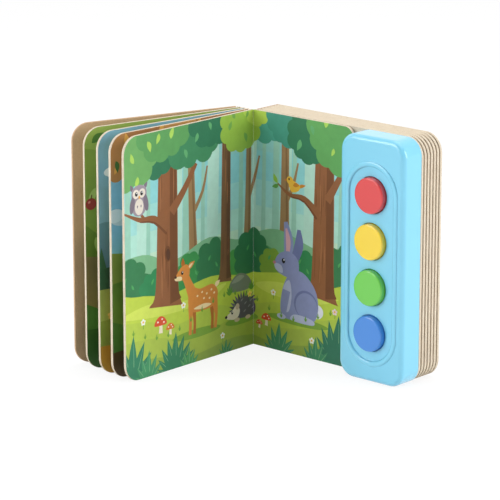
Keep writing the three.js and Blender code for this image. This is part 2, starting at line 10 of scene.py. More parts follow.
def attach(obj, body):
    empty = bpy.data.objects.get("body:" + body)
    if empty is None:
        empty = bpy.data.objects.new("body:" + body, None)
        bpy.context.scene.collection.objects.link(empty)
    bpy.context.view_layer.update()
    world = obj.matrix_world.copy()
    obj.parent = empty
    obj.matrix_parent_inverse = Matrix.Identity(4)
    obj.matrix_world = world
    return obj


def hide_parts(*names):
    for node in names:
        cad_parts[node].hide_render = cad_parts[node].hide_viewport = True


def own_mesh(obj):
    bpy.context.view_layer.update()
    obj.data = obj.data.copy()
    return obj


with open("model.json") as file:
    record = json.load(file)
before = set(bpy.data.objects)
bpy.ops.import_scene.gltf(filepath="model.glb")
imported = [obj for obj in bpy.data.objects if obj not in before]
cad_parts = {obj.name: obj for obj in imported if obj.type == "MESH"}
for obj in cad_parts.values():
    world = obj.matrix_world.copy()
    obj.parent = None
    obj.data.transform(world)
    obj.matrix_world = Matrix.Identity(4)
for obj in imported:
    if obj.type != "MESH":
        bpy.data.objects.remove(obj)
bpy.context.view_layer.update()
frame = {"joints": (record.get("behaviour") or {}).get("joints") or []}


# The camera stands to the right of the open book and a little above it, as the photograph's did,
# with a long lens. The floor and backdrop are plain white and the light is soft from both sides.
MM = 0.001
FOLD = Vector(next(j for j in frame["joints"] if j["name"] == "spine_fold")["pos_m"])
PHOTO_PIXELS = 500
FOCAL_PIXELS = 2856.43
SENSOR, FARTHEST = 36, 20
CAMERA_TURN, CAMERA_PITCH = 42.12, 14.62
CAMERA_PLACE = (1379.17, -1528.98, 610.1)


def at(x, y, z):
    """A point given in millimetres from the foot of the fold, in the row frame."""
    return Vector((FOLD.x + x * MM, FOLD.y + y * MM, z * MM))


def in_scene(name, data):
    made = bpy.data.objects.new(name, data)
    bpy.context.scene.collection.objects.link(made)
    return made


bpy.context.scene.view_settings.view_transform = "Standard"
camera = in_scene("camera", bpy.data.cameras.new("camera"))
bpy.context.scene.camera = camera
camera.data.sensor_width = SENSOR
camera.data.lens = SENSOR * FOCAL_PIXELS / PHOTO_PIXELS
camera.data.clip_end = FARTHEST
camera.location = at(*CAMERA_PLACE)
camera.rotation_euler = (math.radians(90 - CAMERA_PITCH), 0, math.radians(CAMERA_TURN))


def linear(hex_colour, alpha=1.0):
    """An sRGB hex colour as linear numbers."""
    channels = [int(hex_colour[i:i + 2], 16) / 255 for i in (1, 3, 5)]
    return tuple(c / 12.92 if c <= 0.04045 else ((c + 0.055) / 1.055) ** 2.4 for c in channels) + (alpha,)


def node(tree, kind, inputs=None, **settings):
    """Adds a node; inputs are values, or sockets to link from."""
    made = tree.nodes.new(kind)
    for name, value in settings.items():
        setattr(made, name, value)
    for name, value in (inputs or {}).items():
        if isinstance(value, bpy.types.NodeSocket):
            tree.links.new(value, made.inputs[name])
        else:
            made.inputs[name].default_value = value
    return made


def new_material(name):
    material = bpy.data.materials.new(name)
    material.use_nodes = True
    material.node_tree.nodes.clear()
    return material, material.node_tree


def white_surface(name, seen, lit):
    """A white surface that shows as plain white to the camera and in gloss, less what is shaded."""
    material, tree = new_material(name)
    rays = node(tree, "ShaderNodeLightPath")
    seen_ray = node(tree, "ShaderNodeMath", {0: rays.outputs["Is Camera Ray"],
                                             1: rays.outputs["Is Glossy Ray"]}, operation="MAXIMUM")
    glow = node(tree, "ShaderNodeEmission", {"Color": (1, 1, 1, 1), "Strength": seen})
    dull = node(tree, "ShaderNodeBsdfDiffuse", {"Color": (lit, lit, lit, 1)})
    both = node(tree, "ShaderNodeAddShader", {0: glow.outputs[0], 1: dull.outputs[0]})
    plain = node(tree, "ShaderNodeBsdfDiffuse", {"Color": (UNSEEN_WHITE,) * 3 + (1,)})
    mixed = node(tree, "ShaderNodeMixShader", {0: seen_ray.outputs[0], 1: plain.outputs[0],
                                               2: both.outputs[0]})
    node(tree, "ShaderNodeOutputMaterial", {"Surface": mixed.outputs[0]})
    return material


FLOOR_REACH = 6
FLOOR_SEEN, FLOOR_LIT, UNSEEN_WHITE = 0.86, 0.16, 0.85
floor_mesh = bpy.data.meshes.new("floor")
floor_corners = [(x * FLOOR_REACH, y * FLOOR_REACH, 0) for x, y in ((-1, -1), (1, -1), (1, 1), (-1, 1))]
floor_mesh.from_pydata(floor_corners, [], [(0, 1, 2, 3)])
floor_mesh.materials.append(white_surface("floor_white", FLOOR_SEEN, FLOOR_LIT))
in_scene("floor", floor_mesh)

LIGHT_BEHIND, LIGHT_AHEAD = 1.15, 0.16
world = bpy.data.worlds.new("studio")
bpy.context.scene.world = world
world.use_nodes = True
sky = world.node_tree
sky.nodes.clear()
sky_rays = node(sky, "ShaderNodeLightPath")
toward = node(sky, "ShaderNodeTexCoord")
reader_side = Vector((math.sin(math.radians(CAMERA_TURN)), -math.cos(math.radians(CAMERA_TURN)), 0.1))
from_reader = node(sky, "ShaderNodeVectorMath", {0: toward.outputs["Generated"], 1: reader_side},
                   operation="DOT_PRODUCT")
dimming = node(sky, "ShaderNodeMapRange", {"Value": from_reader.outputs["Value"], "From Min": -1.0,
                                           "From Max": 1.0, "To Min": LIGHT_BEHIND,
                                           "To Max": LIGHT_AHEAD})
sky_dim = node(sky, "ShaderNodeBackground", {"Color": (1, 1, 1, 1), "Strength": dimming.outputs[0]})
sky_white = node(sky, "ShaderNodeBackground", {"Color": (1, 1, 1, 1), "Strength": 1.0})
sky_mix = node(sky, "ShaderNodeMixShader", {0: sky_rays.outputs["Is Camera Ray"],
                                            1: sky_dim.outputs[0], 2: sky_white.outputs[0]})
node(sky, "ShaderNodeOutputWorld", {"Surface": sky_mix.outputs[0]})


def softbox(name, place, aim, width, height, watts):
    light = bpy.data.lights.new(name, "AREA")
    light.shape = "RECTANGLE"
    light.size, light.size_y, light.energy = width, height, watts
    lamp = in_scene(name, light)
    lamp.location = place
    lamp.rotation_euler = (Vector(aim) - Vector(place)).to_track_quat("-Z", "Y").to_euler()


BOOK_MIDDLE = at(40, -40, 90)
softbox("left_softbox", at(-750, -1550, 800), BOOK_MIDDLE, 1.0, 1.2, 20)
softbox("right_softbox", at(1650, 560, 650), BOOK_MIDDLE, 0.9, 1.2, 19)
softbox("top_softbox", at(100, 200, 1700), BOOK_MIDDLE, 1.6, 1.6, 11)


# Block boards: six die-cut page boards behind the right page, grey-white board with bare cut
# edges, glued one behind the other round the window that holds the module's tray.
BOARD = 2.2
GROOVE = 1.28
PAGE_HEIGHT = 180
BLOCK_WIDTH = 156.2
BLOCK_SPINE = 1.9
BLOCK_CORNER = 14
BLOCK_FRONT = BOARD + GROOVE
BOARD_COUNT = 6
BOARD_EDGE = 0.28
GROOVE_DEPTH = 1.1
LINER_SINK = 0.12
LINER_EDGE = 0.05
TOUCH = 0.02
RELIEF = 0.0001
BLOCK_STEPS = 14
TRAY_HALF, TRAY_LOW, TRAY_CORNER = 22.6, 17.4, 4.6
MODULE_MIDDLE = 126.7


def polar(x, z, radius, angle):
    return x + radius * math.cos(angle), z + radius * math.sin(angle)


def rounded(left, bottom, right, top, radii, steps=9):
    """A function of inset giving the outline's points; radii start lower left and go round."""
    def outline(inset=0.0):
        low_left, low_right, top_right, top_left = [max(r - inset, 0.05) if r else 0 for r in radii]
        x0, z0, x1, z1 = left + inset, bottom + inset, right - inset, top - inset
        corners = [(x0 + low_left, z0 + low_left, low_left, 180),
                   (x1 - low_right, z0 + low_right, low_right, 270),
                   (x1 - top_right, z1 - top_right, top_right, 0),
                   (x0 + top_left, z1 - top_left, top_left, 90)]
        points = []
        for x, z, radius, start in corners:
            turns = [start + 90 * i / steps for i in range(steps + 1)] if radius else [start]
            points += [polar(x, z, radius, math.radians(a)) for a in turns]
        return points
    return outline


def board_shape(start, width, corner, low=0, steps=9):
    """The outline of an upright board, square along its spine and round at its fore edge."""
    return rounded(start, low, width, PAGE_HEIGHT - low, (0, corner, corner, 0), steps)


def disc(x, z, radius, steps=40):
    def outline(inset=0.0):
        return [polar(x, z, radius - inset, 2 * math.pi * i / steps) for i in range(steps)]
    return outline


def stadium(x, z, radius, height, steps=24):
    """An upright outline with half-round ends; its inset keeps the two ends' centres."""
    reach = height / 2 - radius

    def outline(inset=0.0):
        points = []
        for side, start in ((1, 0), (-1, 180)):
            for i in range(steps + 1):
                angle = math.radians(start + 180 * i / steps)
                points.append(polar(x, z + side * reach, radius - inset, angle))
        return points
    return outline


def arc_steps(count):
    return [math.radians(90 * i / count) for i in range(count + 1)]


def edge_profile(front, back, edge, steps=3):
    """(inset, depth) pairs over a plate's rounded front edge, down its side and to its back."""
    quarter = arc_steps(steps)
    fore = [(edge * (1 - math.sin(a)), front + edge * (1 - math.cos(a))) for a in quarter]
    aft = [(edge * (1 - math.sin(a)), back - edge * (1 - math.cos(a))) for a in reversed(quarter)]
    return [(1.6 * edge, front)] + fore + aft + [(1.6 * edge, back)]


def ring(bm, points, depth):
    return [bm.verts.new((x, depth, z)) for x, z in points]


def bridge(bm, first, second):
    count = len(first)
    for i in range(count):
        bm.faces.new((first[i], first[(i + 1) % count], second[(i + 1) % count], second[i]))


def chain(bm, rings):
    for one, two in zip(rings, rings[1:]):
        bridge(bm, one, two)


def fill(bm, rings):
    """A flat face between one outer ring and any rings inside it."""
    edges = []
    for loop in rings:
        for i, corner in enumerate(loop):
            edge = bm.edges.get((corner, loop[(i + 1) % len(loop)]))
            edges.append(edge or bm.edges.new((corner, loop[(i + 1) % len(loop)])))
    bmesh.ops.triangle_fill(bm, edges=edges, use_beauty=True, use_dissolve=False)


def finish_mesh(name, bm, material, matrix=None, sharp=35, merge=1e-4):
    """Millimetres from the fold to metres in the row frame, as a smooth object."""
    bmesh.ops.remove_doubles(bm, verts=bm.verts, dist=merge)
    bmesh.ops.recalc_face_normals(bm, faces=bm.faces)
    mesh = bpy.data.meshes.new(name)
    bm.to_mesh(mesh)
    bm.free()
    if matrix:
        mesh.transform(matrix)
    mesh.transform(Matrix.Translation((FOLD.x, FOLD.y, 0)) @ Matrix.Scale(MM, 4))
    for polygon in mesh.polygons:
        polygon.use_smooth = True
    mesh.set_sharp_from_angle(angle=math.radians(sharp))
    mesh.materials.append(material)
    return in_scene(name, mesh)


def plate(name, outline, holes, front, back, edge, material, matrix=None):
    """A plate with rounded edges, and with rounded holes through it."""
    bm = bmesh.new()
    first, last = [], []
    for shape, sign in [(outline, 1)] + [(hole, -1) for hole in holes]:
        rings = [ring(bm, shape(sign * inset), depth) for inset, depth in edge_profile(front, back, edge)]
        chain(bm, rings)
        first.append(rings[0])
        last.append(rings[-1])
    fill(bm, first)
    fill(bm, last)
    return finish_mesh(name, bm, material, matrix)


def fit(piece, solid, body):
    """The piece is shown in place of the solid and moves with the body."""
    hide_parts(solid)
    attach(piece, body)


def object_millimetres(tree, stretch=(1, 1, 1)):
    """Texture coordinates in millimetres of the piece, each axis divided by its stretch."""
    place = node(tree, "ShaderNodeTexCoord")
    scale = [1000 / s for s in stretch]
    return node(tree, "ShaderNodeMapping", {"Vector": place.outputs["Object"], "Scale": scale}).outputs[0]


def surfaced(tree, colour, roughness, height=None, strength=0.0):
    """Ends a material: its colour, its roughness and the fine relief of its grain."""
    inputs = {"Base Color": colour, "Roughness": roughness}
    if height is not None:
        relief = node(tree, "ShaderNodeBump", {"Height": height, "Strength": strength, "Distance": RELIEF})
        inputs["Normal"] = relief.outputs[0]
    skin = node(tree, "ShaderNodeBsdfPrincipled", inputs)
    node(tree, "ShaderNodeOutputMaterial", {"Surface": skin.outputs[0]})
    return skin


def cut_board_material():
    """Grey-white solid board, die-cut: matt, with long fibres lying along each cut edge."""
    # Real fibres are finer than the render shows: these streaks are 9 mm by a third of a millimetre.
    material, tree = new_material("cut_greyboard")
    fibres = node(tree, "ShaderNodeTexNoise", {"Vector": object_millimetres(tree, (9, 0.35, 9)),
                                               "Scale": 1.0, "Detail": 4.0, "Roughness": 0.6})
    specks = node(tree, "ShaderNodeTexNoise", {"Vector": object_millimetres(tree), "Scale": 2.2,
                                               "Detail": 2.0})
    mix = node(tree, "ShaderNodeMath", {0: fibres.outputs["Fac"], 1: specks.outputs["Fac"]},
               operation="ADD")
    shade = node(tree, "ShaderNodeMapRange", {"Value": mix.outputs[0], "From Min": 0.7, "From Max": 1.3})
    tone = node(tree, "ShaderNodeMix", {0: shade.outputs[0], 6: linear("#C4B297"), 7: linear("#E1D6C3")},
                data_type="RGBA")
    surfaced(tree, tone.outputs[2], 0.85, mix.outputs[0], 0.25)
    return material


def glue_line_material():
    """The liner between two boards: brown in the groove of the fore edge. Its faces turned up or down
    carry painted light: they are painted pale, as if lit from above."""
    material, tree = new_material("brown_liner")
    grain = node(tree, "ShaderNodeTexNoise", {"Vector": object_millimetres(tree, (4, 1, 4)),
                                              "Scale": 1.5, "Detail": 3.0})
    tone = node(tree, "ShaderNodeMix", {0: grain.outputs["Fac"], 6: linear("#5F4D39"), 7: linear("#745F47")},
                data_type="RGBA")
    facing = node(tree, "ShaderNodeNewGeometry")
    axes = node(tree, "ShaderNodeSeparateXYZ", {"Vector": facing.outputs["True Normal"]})
    upright = node(tree, "ShaderNodeMath", {0: axes.outputs["Z"]}, operation="ABSOLUTE")
    # Painted light: liner faces turned up or down are painted pale, as if lit from above.
    painted_light_mask = node(tree, "ShaderNodeMapRange", {"Value": upright.outputs[0], "From Min": 0.75,
                                                "From Max": 0.99})
    pale = node(tree, "ShaderNodeMix", {0: painted_light_mask.outputs[0], 6: tone.outputs[2], 7: linear("#D8C7AA")},
                data_type="RGBA")
    surfaced(tree, pale.outputs[2], 0.9)
    return material


cut_board = cut_board_material()
brown_liner = glue_line_material()
block_outline = board_shape(BLOCK_SPINE, BLOCK_WIDTH, BLOCK_CORNER, 0, BLOCK_STEPS)
window = rounded(MODULE_MIDDLE - TRAY_HALF, TRAY_LOW, MODULE_MIDDLE + TRAY_HALF,
                 PAGE_HEIGHT - TRAY_LOW, (TRAY_CORNER,) * 4, 4)
for i in range(BOARD_COUNT):
    board_front = BLOCK_FRONT + i * (BOARD + GROOVE)
    board = plate(f"block_board_{i + 1}", block_outline, [window], board_front, board_front + BOARD,
                  BOARD_EDGE, cut_board)
    fit(board, "page_block", "block")
    liner_front = board_front + BOARD - TOUCH
    liner_shape = board_shape(BLOCK_SPINE + GROOVE_DEPTH, BLOCK_WIDTH - GROOVE_DEPTH, BLOCK_CORNER,
                              LINER_SINK, BLOCK_STEPS)
    liner = plate(f"block_liner_{i + 1}", liner_shape, [window], liner_front,
                  liner_front + GROOVE - TOUCH, LINER_EDGE, brown_liner)
    fit(liner, "page_block", "block")


# Right page: the first board of the block, cut narrower to leave room for the module, with the
# right half of the printed picture glued to its face. The print is coated paper, flat inks.
RIGHT_START, RIGHT_EDGE, FOLD_LINE = 0.6, 96.7, 0.02
RIGHT_CORNER = 8.5
PAPER = 0.12
PAPER_INSET = 0.12
PAPER_CUT = linear("#F1E8DA")
LEAF_WIDTH = 136
LEAF_CORNER, LEAF_STEPS = 13, 12


def counter_clockwise(points):
    area = sum(a[0] * b[1] - b[0] * a[1] for a, b in zip(points, points[1:] + points[:1]))
    return points if area > 0 else points[::-1]


def swung(x, z, points, turn):
    """Points about a root, swung by a turn in degrees, with the root at (x, z)."""
    c, s = math.cos(math.radians(turn)), math.sin(math.radians(turn))
    return [(x + p * c - q * s, z + p * s + q * c) for p, q in points]


def oval(x, z, half_wide, half_high, lean=0.0, steps=26):
    angles = [2 * math.pi * i / steps for i in range(steps)]
    return swung(x, z, [(half_wide * math.cos(a), half_high * math.sin(a)) for a in angles], lean)


def on_curve(places, t):
    """The point a share t of the way along a smooth curve between the middle two of four places."""
    return tuple(0.5 * (2 * b + (c - a) * t + (2 * a - 5 * b + 4 * c - d) * t * t
                        + (3 * b - a - 3 * c + d) * t ** 3) for a, b, c, d in zip(*places))


def blob(points, steps=5):
    """A smooth closed outline through a few points."""
    count, out = len(points), []
    for i in range(count):
        near = [points[(i + k) % count] for k in (-1, 0, 1, 2)]
        out += [on_curve(near, j / steps) for j in range(steps)]
    return out


def limb(points, steps=5):
    """A tapering strip along (x, z, half width) points, such as a branch or a leg."""
    line, count = [], len(points)
    for i in range(count - 1):
        near = points[max(i - 1, 0)], points[i], points[i + 1], points[min(i + 2, count - 1)]
        last = i == count - 2
        line += [on_curve(near, j / steps) for j in range(steps + last)]
    left, right = [], []
    for i, (x, z, half) in enumerate(line):
        ahead, back = line[min(i + 1, len(line) - 1)], line[max(i - 1, 0)]
        dx, dz = ahead[0] - back[0], ahead[1] - back[1]
        size = math.hypot(dx, dz) or 1
        left.append((x - dz / size * half, z + dx / size * half))
        right.append((x + dz / size * half, z - dx / size * half))
    return left + right[::-1]


def leaf(x, z, length, turn, fat=0.3, steps=7):
    """A pointed leaf that starts at (x, z)."""
    upper = [(length * i / steps, fat * length * math.sin(math.pi * (i / steps) ** 0.8))
             for i in range(1, steps)]
    lower = [(p, -q * 0.55) for p, q in reversed(upper)]
    return swung(x, z, [(0, 0)] + upper + [(length, 0)] + lower, turn)


def fern(x, z, height, count, spread, colour):
    """A tuft of long leaves that fan out of one root."""
    shapes = []
    for i in range(count):
        reach = height * (1 - 0.35 * abs(2 * i / (count - 1) - 1))
        turn = 90 + spread * (0.5 - i / (count - 1))
        shapes.append((leaf(x, z, reach, turn, 0.15), colour))
        if height > 12:
            tip_x, tip_z = math.cos(math.radians(turn)), math.sin(math.radians(turn))
            vein = [(x + reach * t * tip_x, z + reach * t * tip_z, 0.32 * (1 - t) + 0.06)
                    for t in (0.2, 0.5, 0.86)]
            shapes.append((limb(vein, 2), "#7DB283"))
    return shapes


def foliage(x, z, half_wide, half_high, lobes, colour, seed):
    """A crown of leaves with a scalloped edge."""
    draw = random.Random(seed)
    shapes = [(oval(x, z, half_wide * 0.86, half_high * 0.84, 0, 32), colour)]
    for i in range(lobes):
        a = 2 * math.pi * (i + 0.3 * draw.random()) / lobes
        size = (0.26 + 0.1 * draw.random()) * min(half_wide, half_high) * 1.25
        shapes.append((oval(x + half_wide * 0.76 * math.cos(a), z + half_high * 0.74 * math.sin(a),
                            size, size * 0.9, 0, 18), colour))
    return shapes


def scattered_leaves(places, colour, length=8, seed=3):
    draw = random.Random(seed)
    return [(leaf(x, z, length * (0.8 + 0.4 * draw.random()), draw.choice((-70, -110, 110, 70)), 0.3), colour)
            for x, z in places]


def trunk(x, base, top, half_base, half_top, bark, shade, seed):
    """A tree trunk with a shaded side and a few long cracks in its bark."""
    draw = random.Random(seed)
    middle = (base + top) / 2
    shapes = [(limb([(x - 1, base - 3, half_base * 1.5), (x, base + 10, half_base),
                     (x + 1, middle, (half_base + half_top) / 2), (x + 2, top, half_top)]), bark),
              (limb([(x + half_base * 0.75, base - 1, half_base * 0.5),
                     (x + half_base * 0.62, base + 12, half_base * 0.34),
                     (x + 1 + half_base * 0.5, middle, half_base * 0.3),
                     (x + 2 + half_top * 0.6, top, half_top * 0.36)]), shade)]
    for i in range(14):
        cx = x + half_base * (-0.75 + 1.35 * draw.random())
        cz = base + 4 + (top - base - 34) * draw.random()
        crack = 14 + 16 * draw.random()
        line = [(cx, cz, 0.12), (cx + 0.5, cz + crack * 0.5, 0.34), (cx + 0.3, cz + crack, 0.1)]
        shapes.append((limb(line, 3), shade if i % 3 else "#A86F45"))
    return shapes


def eye(x, z, size, glint=True):
    shapes = [(oval(x, z, size, size * 1.2, 0, 14), "#1E1B1C")]
    if glint:
        shapes.append((oval(x + size * 0.3, z + size * 0.45, size * 0.34, size * 0.38, 0, 10), "#FFFFFF"))
    return shapes


def placed(x, z, shapes):
    """Shapes drawn about their own foot, moved to (x, z)."""
    return [([(x + p, z + q) for p, q in outline], colour) for outline, colour in shapes]


def deer():
    """A fawn that stands side on and looks to the left."""
    coat, dark, pale = "#D98A3E", "#B56A2B", "#F3D9A8"
    shapes = [(limb([(12, 20, 2.4), (13, 9, 1.5), (12.5, 0, 1.5)]), dark),
              (limb([(-7, 20, 2.2), (-6, 9, 1.4), (-6.5, 0, 1.5)]), dark),
              (leaf(16, 31, 7, 40, 0.35), pale),
              (blob([(-13, 25), (-9, 17), (4, 16), (15, 18), (19, 27),
                     (13, 34), (0, 33), (-10, 36)]), coat),
              (blob([(-7, 19), (3, 17.2), (12, 19), (4, 21)]), pale),
              (limb([(15, 22, 3.6), (17, 11, 1.7), (16, 0, 1.6)]), coat),
              (limb([(-10, 22, 3), (-10.5, 10, 1.6), (-11, 0, 1.6)]), coat),
              (limb([(-8, 30, 5), (-13, 40, 3.7), (-16, 46, 3.6)]), coat),
              (leaf(-13, 50, 9, 35, 0.3), coat), (leaf(-12.4, 50.8, 6, 35, 0.22), pale),
              (leaf(-17, 52, 8, 100, 0.3), dark),
              (blob([(-11, 49), (-14, 54), (-20, 53), (-26, 47), (-26, 44), (-20, 43), (-13, 44)]), coat),
              (blob([(-20, 46), (-26.4, 46.6), (-26.2, 44), (-20, 43.2)]), pale),
              (oval(-26, 46.6, 1.3, 1, 0, 12), "#4A2C1C")]
    for dx, dz in ((2, 30), (7, 28), (12, 30), (-3, 28), (4, 25), (10, 24), (15, 27)):
        shapes.append((oval(dx, dz, 1, 0.8, 20, 10), pale))
    return shapes + eye(-19, 48.6, 1.25)


def rabbit():
    """A large rabbit that sits facing left, blue-grey with a pale chest."""
    coat, dark, pale = "#8C93BF", "#6F76A6", "#B9BEDC"
    return [(limb([(4, 44, 3.2), (9, 58, 4.3), (9, 70, 1.6)]), dark),
            (oval(27, 11, 6, 5.4, 0, 20), "#E6E8F4"),
            (blob([(-8, 3), (6, 0), (22, 1), (28, 12), (25, 27), (13, 38), (1, 36), (-7, 22)]), coat),
            (blob([(-7, 8), (-1, 6), (2, 18), (0, 30), (-6, 24)]), pale),
            (oval(16, 14, 11.5, 11, 0, 26), dark), (oval(16.6, 13, 10.6, 10.2, 0, 26), coat),
            (blob([(2, 0), (4, 4.6), (16, 4.8), (24, 2.6), (22, -0.6)]), pale),
            (limb([(-3, 22, 3.8), (-5, 9, 2.8), (-7, 0.6, 2.6)]), coat),
            (oval(-8, 1.2, 4.4, 2.1, 0, 16), pale),
            (limb([(-2, 46, 3.4), (-1, 60, 4.6), (-4, 74, 1.7)]), coat),
            (limb([(-2, 48, 1.4), (-1.4, 60, 2.3), (-3.4, 69, 0.9)]), "#D9A6B0"),
            (blob([(9, 38), (8, 47), (0, 52), (-10, 49), (-15, 41), (-12, 35), (-2, 32), (6, 33)]), coat),
            (blob([(-8, 40), (-14.6, 41), (-13.6, 36.4), (-7, 34.6)]), pale),
            (oval(-15, 41.4, 1.5, 1.2, 0, 12), "#C77F8C")] + eye(-6, 44, 1.7)


def hedgehog():
    """A hedgehog on the grass, dark spines over a pale face."""
    shapes = []
    for i in range(15):
        a = 200 - 12.5 * i
        shapes.append((leaf(2 + 7 * math.cos(math.radians(a)), 8 + 5 * math.sin(math.radians(a)),
                            9.5, a, 0.16), "#4C4A50" if i % 2 else "#67646B"))
    shapes += [(blob([(-9, 3), (2, 1), (13, 2), (15, 9), (9, 16), (0, 16.5), (-7, 12)]), "#5A575E"),
               (blob([(-6, 12), (-10, 9), (-17, 5.4), (-16.6, 3.6),
                      (-9, 1.6), (-4, 3), (-2, 8)]), "#E9DCC4"),
               (oval(-17, 5, 1.4, 1.2, 0, 12), "#26201F"), (oval(-4.6, 11, 2.2, 2.4, 0, 14), "#CDB998"),
               (oval(-5, 0.8, 3, 1.6, 0, 12), "#CDB998"), (oval(7, 0.8, 3, 1.6, 0, 12), "#CDB998")]
    for dx, dz in ((2, 5), (7, 8), (3, 11), (11, 6), (9, 12), (-1, 14)):
        shapes.append((leaf(dx, dz, 3.6, 35, 0.2, 4), "#8B888E"))
    return shapes + eye(-10.4, 7.2, 1.1)


def owl():
    """An owl on a branch, seen from the front."""
    coat, dark, pale = "#9C8E98", "#7B6E7B", "#E4D9CC"
    shapes = [(leaf(-5.6, 17, 6, 120, 0.35), dark), (leaf(5.6, 17, 6, 60, 0.35), dark),
              (blob([(-7.5, 10), (-6, 1), (0, -2), (6, 1), (7.5, 10), (7, 18), (0, 21), (-7, 18)]), coat),
              (oval(0, 5, 4.4, 6, 0, 20), pale),
              (oval(-7, 7, 2.4, 6.4, -10, 18), dark), (oval(7, 7, 2.4, 6.4, 10, 18), dark),
              (oval(-3.1, 14.6, 3.3, 3.4, 0, 18), pale), (oval(3.1, 14.6, 3.3, 3.4, 0, 18), pale),
              (leaf(0, 13.4, 3.2, -90, 0.35, 4), "#E0A03A")]
    for dx in (-1.8, 1.8):
        shapes.append((leaf(dx, 6.4, 2.4, -90, 0.3, 4), dark))
    return shapes + eye(-2.7, 14.6, 1.4) + eye(2.7, 14.6, 1.4)


def mushroom(x, z, size, cap="#D8502C"):
    stalk = [(x, z, 0.26 * size), (x + 0.3, z + 0.5 * size, 0.2 * size), (x, z + size, 0.22 * size)]
    hood = ((-0.8, 0.8), (-0.55, 1.35), (0, 1.6), (0.55, 1.35), (0.8, 0.8), (0, 0.72))
    shapes = [(limb(stalk, 3), "#F2E4CB"), (blob([(x + p * size, z + q * size) for p, q in hood]), cap)]
    for dx, dz in ((-0.35, 1.1), (0.2, 1.3), (0.42, 0.98)):
        shapes.append((oval(x + dx * size, z + dz * size, 0.11 * size, 0.09 * size, 0, 10), "#F8EBDD"))
    return shapes


def flower(x, z, size, colour):
    shapes = [(limb([(x, z - 3.2 * size, 0.25), (x + 0.4, z - 1.4 * size, 0.3), (x, z, 0.25)], 3), "#5C9A3F")]
    shapes += [(oval(*polar(x, z, size, 2 * math.pi * i / 5 + 0.3), 0.62 * size, 0.62 * size, 0, 10), colour)
               for i in range(5)]
    return shapes + [(oval(x, z, 0.55 * size, 0.55 * size, 0, 10), "#F1B93B")]


def bird(colour, wing):
    return [(leaf(4, 2.6, 8, 20, 0.22, 4), wing),
            (blob([(-5, 3), (-2, -1.6), (4, 0), (6, 4), (1, 6.6), (-4, 7.4)]), colour),
            (oval(-4, 7, 3.2, 3, 0, 16), colour), (leaf(-6.8, 7, 2.8, 185, 0.3, 4), "#C9752B"),
            (leaf(-1, 3.4, 6.4, 8, 0.35, 5), wing)] + eye(-4.8, 7.8, 0.75, False)


def field(left, right, colour, top=190):
    """A plain field of colour across a page, past its edges."""
    return rounded(left, -5, right, top, (0, 0, 0, 0))(), colour


def hill(crest, colour):
    """Ground under a rolling crest, down past the foot of the page."""
    foot = -20
    return blob([(crest[0][0], foot)] + crest + [(crest[-1][0], foot)]), colour


